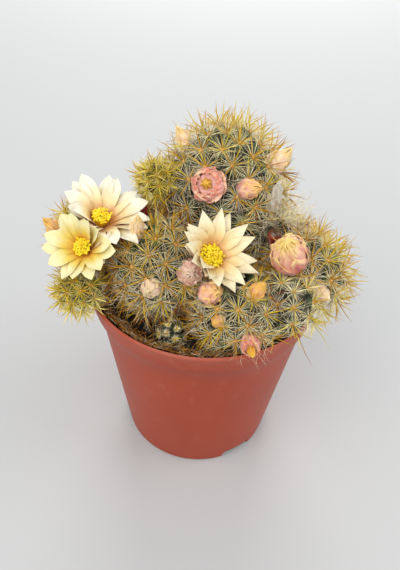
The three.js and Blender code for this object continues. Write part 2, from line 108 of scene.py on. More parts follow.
# Foot, axis, length and radius are the CAD solid's, but for flower_faded, which is 0.1 slimmer. finish is the name
# of a bud's colours, below.
CLOSED_FLOWERS = sheet(
    "foot axis length radius",
    flower_half_open=((18.6, -8.4, 59.4), (-0.25, -0.45, 0.86), 10.5, 3.6),
    flower_folded=((0.2, 1.9, 71.3), (-0.22, -0.76, 0.6), 6.2, 3.2),
    flower_faded=((9.6, -21.6, 50.0), (0.12, -0.95, 0.1), 7.0, 1.7),
)
BUDS = sheet(
    "foot axis length radius finish",
    bud_main_side=((6.9, 1.2, 71.6), (0.5, -0.7, 0.5), 7.4, 1.9, 'pink'),
    bud_main_top_left=((-5.2, 12.4, 74.6), (-0.5, 0.05, 0.82), 6.2, 1.7, 'cream'),
    bud_main_top_right=((12.8, 8.7, 72.6), (0.58, -0.1, 0.78), 7.6, 2.1, 'cream'),
    bud_left_low=((-11.2, -13.9, 55.6), (-0.1, -0.9, 0.42), 5.6, 1.9, 'pale'),
    bud_left_tall=((-15.4, -6.2, 62.4), (0.1, -0.3, 0.95), 8.0, 1.5, 'cream'),
    bud_left_faded=((-3.7, -11.0, 57.6), (0.2, -0.8, 0.55), 4.8, 2.5, 'wilted'),
    bud_far_left=((-31.8, -4.0, 60.6), (-0.6, -0.2, 0.75), 6.4, 1.6, 'orange'),
    bud_far_left_high=((-22.4, 3.4, 63.2), (0.1, 0.2, 0.97), 6.6, 1.3, 'orange'),
    bud_front_left=((0.4, -15.0, 55.0), (0.42, -0.6, 0.66), 6.6, 2.2, 'pink'),
    bud_front_tall=((10.2, -15.6, 55.6), (0.3, -0.35, 0.89), 6.8, 1.6, 'orange'),
    bud_front_small=((3.8, -19.6, 52.0), (-0.4, -0.8, 0.5), 4.4, 1.2, 'orange'),
    bud_right_low=((24.2, -11.0, 54.9), (0.45, -0.85, 0.2), 5.4, 1.6, 'pale'),
    bud_back=((6.5, 23.6, 66.5), (0.1, 0.85, 0.5), 7.6, 1.9, 'pink'),
)
FRUITS = sheet(
    "foot axis length radius",
    fruit_inner_right=((14.2, -1.4, 58.6), (0.1, -0.35, 0.92), 6.2, 1.5),
    fruit_back_right=((22.4, 8.2, 54.0), (0.1, -0.15, 0.98), 5.6, 1.4),
    fruit_left=((-13.4, -0.6, 61.4), (-0.35, 0.2, 0.9), 5.8, 1.4),
    fruit_back=((-12.6, 20.6, 54.0), (-0.2, 0.7, 0.68), 6.0, 1.5),
)


# ---- vectors and meshes -------------------------------------------------------------------------------
def unit(v):
    """v scaled to length 1 along its last axis."""
    v = np.asarray(v, float)
    return v / np.maximum(np.linalg.norm(v, axis=-1, keepdims=True), 1e-12)


def square_to(axis):
    """Two unit vectors square to axis and to each other: side leans to +X, and up is axis x side."""
    axis = unit(axis)
    helper = np.where(np.abs(axis[..., :1]) < 0.95, [1.0, 0.0, 0.0], [0.0, 1.0, 0.0])
    side = unit(helper - (helper * axis).sum(-1, keepdims=True) * axis)
    return side, np.cross(axis, side)


def spun(angle, side, up):
    """cos(angle) side + sin(angle) up, for each angle."""
    return np.cos(angle)[..., None] * side + np.sin(angle)[..., None] * up


def frame_of(part):
    """The unit axis of a flower, bulb or stem, and the two unit vectors square to it."""
    axis = unit(part["lean" if "lean" in part else "axis"])
    return axis, *square_to(axis)


def smooth_step(x, low, high):
    """0 below low, 1 above high, and 3t^2 - 2t^3 between."""
    t = np.clip((x - low) / (high - low), 0, 1)
    return t * t * (3 - 2 * t)


def placed(name, data):
    """A new object in the scene."""
    made = bpy.data.objects.new(name, data)
    bpy.context.scene.collection.objects.link(made)
    return made


def piece(name, points, faces, material, replaces=(), uv=None, uv_name="OFBake", values=None, sharp=40):
    """A mesh object from points in millimetres and a list of index arrays, one array for each number of corners.
    uv lists one place per face corner, in the same order. values are named numbers per point. Edges that turn
    by more than sharp degrees are drawn sharp."""
    mesh = bpy.data.meshes.new(name)
    mesh.vertices.add(len(points))
    mesh.vertices.foreach_set("co", (np.asarray(points) * MM).astype(np.float32).ravel())
    corners = np.concatenate([np.asarray(f).ravel() for f in faces]).astype(np.int32)
    sizes = np.concatenate([np.full(len(f), np.shape(f)[1]) for f in faces])
    mesh.loops.add(len(corners))
    mesh.loops.foreach_set("vertex_index", corners)
    mesh.polygons.add(len(sizes))
    mesh.polygons.foreach_set("loop_start", (np.cumsum(sizes) - sizes).astype(np.int32))
    mesh.update(calc_edges=True)
    if uv is not None:
        mesh.uv_layers.new(name=uv_name).uv.foreach_set("vector", np.asarray(uv, np.float32).ravel())
    for key, numbers in (values or {}).items():
        mesh.attributes.new(key, "FLOAT", "POINT").data.foreach_set("value", np.asarray(numbers, np.float32).ravel())
    mesh.polygons.foreach_set("use_smooth", np.ones(len(sizes), bool))
    mesh.set_sharp_from_angle(angle=math.radians(sharp))
    mesh.materials.append(material)
    made = placed(name, mesh)
    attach(made, "root")
    if replaces:
        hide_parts(*replaces)


def grid_quads(rows, columns, round_columns=False):
    """Index quads over a rows x columns grid of points. With round_columns the last column joins the first."""
    r = np.arange(rows - 1)[:, None]
    c = np.arange(columns if round_columns else columns - 1)[None]
    nxt = (c + 1) % columns
    quads = np.stack(np.broadcast_arrays(r * columns + c, r * columns + nxt, (r + 1) * columns + nxt,
                                         (r + 1) * columns + c), -1)
    return quads.reshape(-1, 4)


def fan(first, count, apex, upwards=True):
    """Triangles from a ring of count points, of which the first is given, to the point apex."""
    k = np.arange(count)
    pair = [first + k, first + np.roll(k, -1)]
    return np.stack([*(pair if upwards else pair[::-1]), np.full(count, apex)], -1)


def caps(first, last, count, apex):
    """A fan down from the ring at first to the point apex, and one up from the ring at last to the next point."""
    return np.concatenate([fan(first, count, apex, False), fan(last, count, apex + 1)])


def copies(number, each, *faces):
    """The same faces for number copies of a shape of each points."""
    start = np.arange(number)[:, None, None] * each
    return [(f + start).reshape(-1, f.shape[-1]) for f in faces]


def turned(profile, columns, foot=(0, 0, 0), axis=(0, 0, 1)):
    """A profile of (radius, height) rows carried round axis. The first and last row close on the axis with a fan."""
    profile = np.asarray(profile, float)
    side, up = square_to(np.array(axis, float))
    angle = np.linspace(0, 2 * math.pi, columns, endpoint=False)
    ring = spun(angle, side, up)
    inner = profile[1:-1]
    points = np.array(foot) + inner[:, 0, None, None] * ring + inner[:, 1, None, None] * unit(axis)
    ends = np.array(foot) + profile[[0, -1], 1][:, None] * unit(axis)
    points = np.concatenate([points.reshape(-1, 3), ends])
    return points, [grid_quads(len(inner), columns, True),
                    caps(0, (len(inner) - 1) * columns, columns, len(points) - 2)]


def joined(parts):
    """Several (points, [quads, triangles]) shapes as one."""
    points, quads, triangles, start = [], [], [], 0
    for p, (q, t) in parts:
        points.append(p)
        quads.append(np.asarray(q).reshape(-1, 4) + start)
        triangles.append(np.asarray(t).reshape(-1, 3) + start)
        start += len(p)
    return np.concatenate(points), [np.concatenate(quads), np.concatenate(triangles)]


def strands(paths, radius, tone):
    """Three-sided tubes round many paths at once, each ending in a point.

    paths is strands x points x 3, radius is strands x (points - 1), and tone is one number from 0 to 1 for
    each strand, which picks its colour. A ring point is the path's point + radius x (cos a side + sin a up).
    On the map a strand stands in the column of its tone, with its root at the bottom and its tip at the top."""
    count, steps = paths.shape[:2]
    side, up = square_to(unit(paths[:, -1] - paths[:, 0]))
    angle = 2 * math.pi / 3 * np.arange(3)
    ring = spun(angle, side[:, None], up[:, None])
    rings = paths[:, :-1, None] + radius[:, :, None, None] * ring[:, None]
    points = np.concatenate([rings.reshape(count, -1, 3), paths[:, -1:]], 1)
    each = points.shape[1]
    tube = grid_quads(steps - 1, 3, True)
    k = np.arange(3)
    faces = copies(count, each, tube, np.concatenate([fan((steps - 2) * 3, 3, each - 1), [[2, 1, 0]]]))
    width = 1 / TONE_COLUMNS
    column = np.floor(np.clip(tone, 0, 0.999) * TONE_COLUMNS)[:, None, None] * width

    def places(across, along):
        spots = np.empty((count, *np.shape(across), 2))
        spots[..., 0] = column + np.asarray(across) * width
        spots[..., 1] = along
        return spots.reshape(-1, 2)

    row, col = tube[:, [0]] // 3, tube[:, [0]] % 3
    low = (row + 0.02) / (steps - 1)
    high = (row + 1) / (steps - 1)
    quad_uv = places((col + [[0, 1, 1, 0]]) / 3 * 0.9 + 0.05, np.concatenate([low, low, high, high], 1))
    share = (steps - 2) / (steps - 1)
    tip_across = np.concatenate([np.stack([k / 3, (k + 1) / 3, (k + 0.5) / 3], -1), [[0.1, 0.5, 0.9]]]) * 0.9 + 0.05
    tip_along = np.concatenate([np.tile([share, share, 1.0], (3, 1)), [[0.0, 0.02, 0.0]]])
    return points.reshape(-1, 3), faces, np.concatenate([quad_uv, places(tip_across, tip_along)])


def strand_piece(name, batches):
    """One piece from several batches of (paths, radius, tone), all with the same number of points."""
    paths, radius, tone = (np.concatenate(parts) for parts in zip(*batches))
    points, faces, uv = strands(paths, radius, tone)
    piece(name, points, faces, SPINE, uv=uv)


# ---- materials ----------------------------------------------------------------------------------------
class Wire:
    """A node's output. Arithmetic on it adds Math nodes."""

    def __init__(self, finish, socket):
        self.finish, self.socket = finish, socket

    def maths(self, operation, *values):
        return self.finish.node("Math", dict(operation=operation), dict(enumerate(values)))

    def __add__(self, other):
        return self.maths("ADD", self, other)

    def __sub__(self, other):
        return self.maths("SUBTRACT", self, other)

    def __rsub__(self, other):
        return self.maths("SUBTRACT", other, self)

    def __mul__(self, other):
        return self.maths("MULTIPLY", self, other)

    def __pow__(self, other):
        return self.maths("POWER", self, other)

    __radd__ = __add__

    def clipped(self):
        return self.maths("MINIMUM", self.maths("MAXIMUM", self, 0.0), 1.0)


class Finish:
    """One material. node() adds any node, and wear() joins patterns to the shader."""

    def __init__(self, name, **constants):
        self.material = bpy.data.materials.new(name)
        self.material.use_nodes = True
        self.tree = self.material.node_tree
        self.shader = self.tree.nodes["Principled BSDF"]
        for socket, value in constants.items():
            self.shader.inputs[socket.replace("_", " ")].default_value = value

    def node(self, kind, settings=None, inputs=None, output=0):
        made = self.tree.nodes.new("ShaderNode" + kind)
        for key, value in (settings or {}).items():
            if key == "stops":
                self.fill_ramp(made.color_ramp, value)
            else:
                setattr(made, key, value)
        for socket, value in (inputs or {}).items():
            self.plug(made.inputs[socket], value)
        return Wire(self, made.outputs[output])

    def plug(self, socket, value):
        if isinstance(value, Wire):
            self.tree.links.new(value.socket, socket)
        else:
            socket.default_value = value

    def fill_ramp(self, ramp, stops):
        while len(ramp.elements) < len(stops):
            ramp.elements.new(0.5)
        for element, (place, colour) in zip(ramp.elements, stops):
            element.position = place
            element.color = (*linear(colour), 1)

    def place(self):
        return self.node("TexCoord", output=3)

    def noise(self, scale, detail=3.0, vector=None, roughness=0.5):
        return self.node("TexNoise", None, dict(Vector=vector or self.place(), Scale=scale, Detail=detail,
                                                Roughness=roughness))

    def cells(self, scale, vector):
        return self.node("TexVoronoi", None, dict(Vector=vector, Scale=scale))

    def height(self, place):
        return self.node("SeparateXYZ", None, dict(Vector=place), output=2)

    def ramp(self, share, *stops):
        return self.node("ValToRGB", dict(stops=stops), dict(Fac=share))

    def mix(self, share, low, high, blend="MIX"):
        inputs = {0: share, 6: low if isinstance(low, Wire) else (*linear(low), 1),
                  7: high if isinstance(high, Wire) else (*linear(high), 1)}
        return self.node("Mix", dict(data_type="RGBA", blend_type=blend), inputs, output=2)

    def value(self, name):
        return self.node("Attribute", dict(attribute_name=name), output=2)

    def map_place(self, name):
        spot = self.node("UVMap", dict(uv_map=name))
        return spot, *(self.node("SeparateXYZ", None, dict(Vector=spot), output=i) for i in (0, 1))

    def bump(self, height, distance, strength):
        return self.node("Bump", None, dict(Height=height, Distance=distance, Strength=strength))

    def wear(self, **links):
        for socket, wire in links.items():
            self.plug(self.shader.inputs[socket.replace("_", " ")], wire)
        return self.material


def linear(colour):
    """An sRGB colour, as three numbers from 0 to 255, in the linear numbers that shaders use."""
    c = np.array(colour, float) / 255
    return tuple(np.where(c <= 0.04045, c / 12.92, ((c + 0.055) / 1.055) ** 2.4))


BLACK, WHITE = (0, 0, 0), (255, 255, 255)


def pot_finish():
    """Satin moulded plastic: a faint orange peel, long scuffs, pale dust in patches and lime near the rim."""
    f = Finish("pot_plastic", Specular_IOR_Level=0.32)
    place = f.place()
    broad = f.noise(60, 3, place)
    fine = f.noise(900, 2, place)
    stretched = f.node("Mapping", None, dict(Vector=place, Scale=(1.0, 1.0, 0.12)))
    streaks = f.noise(700, 4, stretched)
    specks = f.cells(420, place)
    height = f.height(place)
    dust = f.ramp(f.noise(260, 6, place, 0.7), (0.56, BLACK), (0.74, WHITE))
    lime = f.ramp(height * 20.8, (0.9, BLACK), (1.0, (150, 150, 150)))
    colour = f.ramp(broad, (0.3, (153, 57, 30)), (0.7, (162, 63, 35)))
    colour = f.mix(streaks * 0.12, colour, (172, 80, 58))
    colour = f.mix(dust * 0.16, colour, (214, 170, 150))
    colour = f.mix(lime * f.noise(300, 4, place) * 0.5, colour, (214, 178, 160))
    colour = f.mix(f.ramp(specks, (0.02, WHITE), (0.06, BLACK)) * 0.35, colour, (96, 48, 38))
    rough = 0.40 + broad * 0.12 + dust * 0.2
    bump = f.bump(fine * 0.5 + streaks * 0.4 + broad, 0.00012, 0.35)
    return f.wear(Base_Color=colour, Roughness=rough, Normal=bump)


def soil_finish():
    """Damp black peat with paler crumbs, drier and browner where it is banked up beside the rim."""
    f = Finish("peat_soil")
    place = f.place()
    height = f.height(place)
    dry = f.ramp(height * 20.0, (0.885, BLACK), (0.925, WHITE))
    grain = f.noise(900, 8, place, 0.7)
    chips = f.cells(650, place)
    colour = f.ramp(grain, (0.3, (14, 10, 8)), (0.55, (38, 27, 20)), (0.75, (82, 58, 38)))
    colour = f.mix(f.ramp(chips, (0.05, WHITE), (0.2, BLACK)) * 0.4, colour, (96, 72, 50))
    colour = f.mix(dry * f.noise(1500, 5, place, 0.7) * 1.1, colour, (150, 112, 66))
    return f.wear(Base_Color=colour, Roughness=0.8 + grain * 0.2, Normal=f.bump(grain + chips, 0.0008, 0.9))


def skin_finish():
    """Stem skin: dull blue-green nipples with a fine pale bloom, and painted shade that turns the skin dark brown to
    nearly black down in the grooves.
    """
    f = Finish("stem_skin", Roughness=0.62, Subsurface_Weight=0.05, Subsurface_Radius=(0.0008, 0.001, 0.0005))
    place = f.place()
    rise = f.value("rise")
    age = f.value("age")
    blotch = f.noise(420, 4, place)
    # painted shade: rise runs from 0 in the grooves to 1 on the nipples' tips, and picks colours from near black up
    # to green
    colour = f.ramp(rise, (0.0, (18, 14, 9)), (0.4, (30, 34, 20)), (0.9, (84, 104, 58)), (1.0, (122, 130, 78)))
    colour = f.mix(blotch * 0.35, colour, (44, 58, 46))
    flecks = f.ramp(f.cells(2600, place), (0.1, WHITE), (0.25, BLACK))
    colour = f.mix(flecks * 0.22, colour, (176, 188, 160))
    colour = f.mix((age * 1.4 - 0.75).clipped() * 0.85, colour, (74, 62, 44))
    return f.wear(Base_Color=colour, Normal=f.bump(f.noise(3200, 3, place), 0.00008, 0.5))


# What a strand's tone means, from left to right on its map.
TONES = (
    (0.00, (118, 56, 14)), (0.08, (150, 94, 10)), (0.16, (192, 144, 12)), (0.26, (212, 172, 18)),
    (0.32, (204, 188, 34)), (0.38, (232, 216, 104)), (0.46, (244, 230, 156)), (0.58, (246, 240, 208)),
    (0.70, (232, 226, 206)), (0.82, (176, 158, 126)), (0.91, (116, 92, 62)), (1.00, (56, 40, 26)),
)


def spine_finish():
    """Spines, wool and dry hair: tone picks the colour, roots are warmer and tips darker."""
    f = Finish("spine", Roughness=0.55, Subsurface_Weight=0.05, Subsurface_Radius=(0.0004, 0.0003, 0.0002))
    _, tone, along = f.map_place("OFBake")
    colour = f.ramp(tone, *TONES)
    tip = f.ramp(along, (0.0, (206, 190, 160)), (0.3, WHITE), (0.8, (246, 236, 216)), (1.0, (188, 146, 100)))
    return f.wear(Base_Color=f.mix(1.0, colour, tip, "MULTIPLY"))


def felt_finish():
    """The pad of felt on a nipple's tip: orange and cream wool."""
    f = Finish("areole_felt", Roughness=0.9)
    curl = f.noise(5200, 4, None, 0.7)
    colour = f.ramp(curl, (0.3, (166, 100, 34)), (0.5, (214, 158, 70)), (0.7, (240, 220, 170)))
    return f.wear(Base_Color=colour, Normal=f.bump(curl, 0.0002, 0.8))


def petal_finish(name, root, middle, tip, back, stripe, back_tip=None, fade=(0.3, 0.85)):
    """A petal: root, middle and tip colours along it, a darker stripe along its back, fine veins lengthwise. Its
    back may turn to another colour over the lengthwise span fade."""
    f = Finish(name, Roughness=0.4, Subsurface_Weight=0.18, Subsurface_Radius=(0.0010, 0.0009, 0.0006),
               Coat_Weight=0.05, Coat_Roughness=0.35, Sheen_Weight=0.1)
    spot, across, along = f.map_place("petal")
    drawn_out = f.node("Mapping", None, dict(Vector=spot, Scale=(14.0, 1.2, 1.0)))
    veins = f.noise(3.0, 4, drawn_out, 0.6)
    cloud = f.noise(520, 3) - 0.5
    cloudy = (along + cloud * 0.5).clipped()
    front = f.ramp((along + cloud * 0.22).clipped(), (0.0, root), (0.26, root), (0.5, middle), (0.78, tip))
    front = f.mix((veins * 1.6 - 0.5).clipped() * 0.22, front, middle)
    off_centre = across - 0.5
    line = (1 - off_centre.maths("ABSOLUTE", off_centre) * 3.6).clipped() ** 1.3
    ends = f.ramp(cloudy, (0.35, back), (0.8, back_tip or back))
    streaked = f.mix((line * (1.15 - along * 0.5)).clipped(), back, stripe)
    streaked = f.mix((veins * 1.9 - 0.6).clipped() * 0.55, streaked, stripe)
    turning = f.ramp(cloudy, (fade[0], BLACK), (fade[1], (235, 235, 235)))
    colour = f.mix(f.value("behind"), front, f.mix(turning, streaked, ends))
    return f.wear(Base_Color=colour, Normal=f.bump(veins, 0.00012, 0.6))


def pollen_finish():
    """Powdery egg-yellow anthers on paler filaments."""
    f = Finish("pollen", Roughness=0.7, Subsurface_Weight=0.2, Subsurface_Radius=(0.0008, 0.0006, 0.0002))
    grain = f.noise(6000, 3)
    share = f.value("anther")
    colour = f.mix(share, (250, 206, 40), f.ramp(grain, (0.3, (250, 206, 14)), (0.6, (255, 238, 50))))
    return f.wear(Base_Color=colour, Normal=f.bump(grain, 0.00015, 0.7))


def fruit_finish():
    """A smooth dark red berry, nearly black at its foot, with the dried flower on its end."""
    f = Finish("berry", Roughness=0.28, Subsurface_Weight=0.1, Subsurface_Radius=(0.001, 0.0004, 0.0004),
               Coat_Weight=0.3, Coat_Roughness=0.15)
    along = f.value("along")
    colour = f.ramp(along, (0.0, (60, 10, 18)), (0.5, (132, 18, 34)), (0.86, (150, 30, 40)), (0.95, (96, 66, 42)))
    return f.wear(Base_Color=f.mix(f.noise(900, 3) * 0.3, colour, (90, 8, 22)))


def floor_finish():
    """A plain pale matt table."""
    f = Finish("pale_table", Roughness=0.85)
    f.shader.inputs["Base Color"].default_value = (*linear((183, 184, 183)), 1)
    return f.material


PLASTIC, PEAT, SKIN, SPINE, FELT = pot_finish(), soil_finish(), skin_finish(), spine_finish(), felt_finish()
POLLEN, BERRY = pollen_finish(), fruit_finish()

# The colours of each kind of petal: root, middle, tip, back and stripe, then its back's tip and fade where given.
PETALS = {name: petal_finish(name, *colours) for name, colours in dict(
    cream_petal=((214, 144, 66), (236, 206, 142), (240, 232, 196), (234, 218, 178), (222, 166, 140)),
    pale_petal=((206, 140, 66), (236, 214, 156), (240, 237, 216), (236, 226, 196), (196, 70, 74)),
    warm_petal=((224, 158, 36), (232, 204, 88), (236, 230, 178), (234, 216, 146), (220, 176, 96)),
    outer_petal=((206, 140, 80), (238, 210, 156), (244, 234, 196), (222, 150, 122), (170, 70, 66)),
    red_petal=((150, 60, 50), (140, 30, 44), (134, 22, 38), (150, 40, 52), (110, 14, 30)),
    folded_petal=((236, 190, 130), (244, 206, 178), (240, 196, 160), (236, 190, 178), (196, 92, 96), (222, 126, 88),
                  (0.75, 1.0)),
    crested_petal=((232, 196, 150), (240, 214, 170), (248, 224, 140), (228, 164, 150), (198, 96, 96), (244, 214, 144),
                   (0.56, 0.95)),
    crest_petal=((226, 150, 40), (242, 200, 90), (250, 222, 130), (240, 196, 110), (220, 130, 70), (250, 224, 140)),
    heart_petal=((206, 120, 20), (226, 164, 34), (238, 190, 56), (226, 160, 40), (206, 110, 30), (238, 190, 60)),
    papery_husk=((176, 160, 130), (196, 188, 170), (208, 202, 188), (198, 190, 174), (166, 150, 128),
                 (208, 202, 188)),
    wilted_bud=((220, 156, 130), (238, 200, 176), (244, 218, 190), (238, 192, 170), (204, 104, 98), (244, 220, 196)),
    pink_bud=((214, 150, 120), (238, 206, 176), (246, 206, 120), (238, 190, 176), (206, 112, 112), (248, 204, 110)),
    pale_bud=((222, 186, 166), (240, 222, 206), (246, 218, 160), (242, 220, 206), (224, 170, 160), (248, 224, 170)),
    cream_bud=((222, 180, 130), (240, 220, 180), (244, 206, 136), (242, 220, 196), (224, 170, 146), (246, 216, 140)),
    orange_bud=((206, 140, 84), (236, 190, 120), (246, 196, 84), (236, 190, 150), (214, 134, 100), (248, 196, 84)),
).items()}


# ---- the space that pieces take -----------------------------------------------------------------------
def in_stem(points, stem, swell=0.0):
    """Whether points lie in a stem's ellipsoid, swollen outwards by swell."""
    offset = points - np.array(stem["centre"])
    along = offset @ unit(stem["lean"])
    across = np.sqrt(np.maximum((offset**2).sum(-1) - along**2, 0))
    return (across / (stem["radius"] + swell)) ** 2 + (along / (stem["half"] + swell)) ** 2 < 1


def others(own):
    """Every stem but the one named own."""
    return [stem for name, stem in STEMS.items() if name != own]


def from_axis(points, foot, axis):
    """How far along an axis points lie, and how far off it."""
    offset = points - np.array(foot)
    along = offset @ unit(axis)
    return along, np.sqrt(np.maximum((offset**2).sum(-1) - along**2, 0))


def eighths(values, angle):
    """Eight values, one for each eighth of a turn, read between them at each angle."""
    return np.interp(angle, np.arange(9) * math.pi / 4, [*values, values[0]])


def in_open_flower(points, flower):
    """Whether points lie in an open flower's cup, from under its lowest petals, or in its tube."""
    along, across = from_axis(points, flower["throat"], flower["axis"])
    _, side, up = frame_of(flower)
    offset = points - np.array(flower["throat"])
    around = np.arctan2(offset @ up, offset @ side) % (2 * math.pi)
    reach, lift = (eighths(flower[key], around) for key in ("reach", "lift"))
    size = flower["size"]
    under = -1.2 + 5.8 * (1 - np.exp(-np.maximum(across / size - 1, 0) / 3))
    under = np.where(under > 0, under * lift * 0.95, under) * size
    return ((across < 8.7 * size * reach) & (along > under) & (along < (5.0 + 0.35 * across) * size)) | (
        (across < 2.3) & (along > -8) & (along < 0))


def in_bulb(points, bulb, margin=0.1):
    """Whether points lie in a bud, fruit or closed flower."""
    along, across = from_axis(points, bulb["foot"], bulb["axis"])
    t = np.clip(along / bulb["length"], 0, 1)
    return (along > 0) & (along < bulb["length"] + 0.2) & (
        across < bulb["radius"] * 1.08 * np.sin(math.pi * np.clip(t, 0.15, 0.88)) ** 0.6 + margin)


def in_pot(points):
    """Whether points lie in the pot's wall near the rim or below the soil."""
    r, z = np.hypot(points[..., 0], points[..., 1]), points[..., 2]
    wall = (r > POT["neck_radius"] - 1.2) & (r < POT["lip_radius"] + 0.4) & (z < POT["height"] + 0.3)
    return (wall & (z > WALL_FROM)) | ((r < SOIL_EDGE) & (z < SOIL_TOP)) | (z < 0)


def taken(points, own):
    """Whether another stem, a flower, a bud, a fruit or the pot already takes each point."""
    found = in_pot(points)
    for stem in others(own):
        found |= in_stem(points, stem, -0.2)
    for flower in OPEN_FLOWERS.values():
        found |= in_open_flower(points, flower)
    for bulb in (*CLOSED_FLOWERS.values(), *BUDS.values()):
        found |= in_bulb(points, bulb)
    for bulb in FRUITS.values():
        found |= in_bulb(points, bulb, 0.7)
    return found


def room(base, way, length, own):
    """How much of each straight spine is free, as a share of its length, from twelve samples along it."""
    nearest = 0.08
    shares = np.linspace(nearest, 1.0, 12)
    samples = base[:, None] + shares[:, None] * (way * length[:, None])[:, None]
    hit = taken(samples, own)
    return np.where(hit.any(1), shares[hit.argmax(1)] - nearest, 1.0)


# ---- stems --------------------------------------------------------------------------------------------
def reach_along(stem, way):
    """How far a stem's ellipsoid reaches from its centre along a unit direction."""
    along = way @ unit(stem["lean"])
    return 1 / math.hypot(math.sqrt(max(0, 1 - along**2)) / stem["radius"], along / stem["half"])


def pressed(points, name, gap=0.15):
    """Points of a stem moved back to the flat faces on which it meets its neighbours, midway between them."""
    stem = STEMS[name]
    here = np.array(stem["centre"], float)
    points = points.copy()
    for other in others(name):
        way = np.array(other["centre"]) - here
        apart = np.linalg.norm(way)
        way /= apart
        mine, theirs = reach_along(stem, way), reach_along(other, way)
        if apart > mine + theirs + 1.5:
            continue
        beyond = (points - here) @ way - (mine + (apart - mine - theirs) / 2 - gap)
        points -= np.maximum(beyond, 0)[:, None] * way
    return points


def nipples(stem):
    """A stem's nipple tips, ways out and ages.

    Their number is the ellipsoid's area over that of one nipple's six-sided cell. Nipple i stands at i golden
    angles round the lean, at height 1 - 2 ((i + 0.5) / number)^1.06, so they crowd a little at the crown."""
    r, h = stem["radius"], stem["half"]
    area = 4 * math.pi * ((r ** (2 * AREA_POWER) + 2 * (r * h) ** AREA_POWER) / 3) ** (1 / AREA_POWER)
    number = int(area / (HEXAGON * stem["spacing"] ** 2))
    i = np.arange(number)
    height = 1 - 2 * ((i + 0.5) / number) ** 1.06
    across = np.sqrt(1 - height**2)
    lean, side, up = frame_of(stem)
    round_ = spun(i * GOLDEN_ANGLE + stem["radius"], side, up)
    tips = np.array(stem["centre"]) + r * across[:, None] * round_ + h * height[:, None] * lean
    out = unit(across[:, None] * round_ / r + height[:, None] * lean / h)
    return tips, out, np.arccos(np.clip(height, -1, 1)) / math.pi


def stem_body(name, stem):
    """The nippled skin and the neck under it.

    On an ellipsoid grid, each point sinks by the groove's depth x (1 - bell) + 0.25, where bell is a cosine bell
    of its distance to the nearest nipple tip over NIPPLE_REACH x the spacing. The neck is a tapered profile
    that runs from the root into the head."""
    tips, _, _ = nipples(stem)
    rows, columns = (150, 200) if stem["radius"] > 9 else (90, 120)
    theta = np.linspace(0.012, math.pi - 0.012, rows)[:, None]
    phi = np.linspace(0, 2 * math.pi, columns, endpoint=False)[None]
    lean, side, up = frame_of(stem)
    r, h = stem["radius"], stem["half"]
    round_ = spun(phi, side, up)
    sphere = np.sin(theta)[..., None] * round_, np.cos(theta)[..., None] * lean
    surface = (np.array(stem["centre"]) + r * sphere[0] + h * sphere[1]).reshape(-1, 3)
    out = unit(sphere[0] / r + sphere[1] / h).reshape(-1, 3)
    nearest = np.concatenate([
        np.sqrt(((part[:, None] - tips[None]) ** 2).sum(-1).min(1)) for part in np.array_split(surface, 12)])
    bell = 0.5 + 0.5 * np.cos(math.pi * np.clip(nearest / (NIPPLE_REACH * stem["spacing"]), 0, 1))
    depth = GROOVE_DEPTH * stem["spacing"]
    skin = pressed(surface - (depth * (1 - bell) + 0.25)[:, None] * out, name)
    age = np.broadcast_to(theta / math.pi, (rows, columns)).ravel()
    poles = np.stack([skin[:columns].mean(0), skin[-columns:].mean(0)])
    low = (rows - 1) * columns
    fans = np.concatenate([fan(0, columns, len(skin)), fan(low, columns, len(skin) + 1, False)])[:, [2, 0, 1]]
    quads = grid_quads(rows, columns, True)[:, ::-1]
    head = np.concatenate([skin, poles]), [quads, fans]
    root, centre = np.array(stem["root"], float), np.array(stem["centre"], float)
    way = centre - root
    length = np.linalg.norm(way) * 0.9
    share = np.linspace(0, 1, 9)
    profile = [(0, 0), *zip(r * (0.58 + 0.12 * share), length * share), (0, length)]
    neck_points, neck_faces = turned(profile, 40, root, way)
    neck = pressed(neck_points, name), neck_faces
    points, faces = joined([head, neck])
    rise = np.concatenate([bell, [1, 1], np.zeros(len(neck[0]))])
    ages = np.concatenate([age, [0, 1], np.ones(len(neck[0]))])
    piece(f"{name}_skin", points, faces, SKIN, replaces=[name], values=dict(rise=rise, age=ages), sharp=80)


def areole_pads(name, stem):
    """Felt pads: on each nipple's tip a low dome of two rings of seven points, a top and a bottom."""
    tips, out, age = nipples(stem)
    keep = (age < 0.86) & ~taken(tips + out * 0.3, name)
    tips, out = tips[keep], out[keep]
    side, up = square_to(out)
    size = 0.105 * stem["spacing"] * rng.uniform(0.85, 1.15, len(tips))
    angle = np.arange(7) * 2 * math.pi / 7
    ring = spun(angle, side[:, None], up[:, None])
    levels = [(1.0, -0.35), (0.75, 0.25)]
    rings = [tips[:, None] + size[:, None, None] * (wide * ring + high * out[:, None]) for wide, high in levels]
    top = tips + size[:, None] * 0.5 * out
    bottom = tips - size[:, None] * 0.5 * out
    points = np.concatenate([*rings, top[:, None], bottom[:, None]], 1)
    ends = np.concatenate([fan(7, 7, 14), fan(0, 7, 15, False)])
    faces = copies(len(tips), 16, grid_quads(2, 7, True), ends)
    piece(f"{name}_felt", points.reshape(-1, 3), faces, FELT)


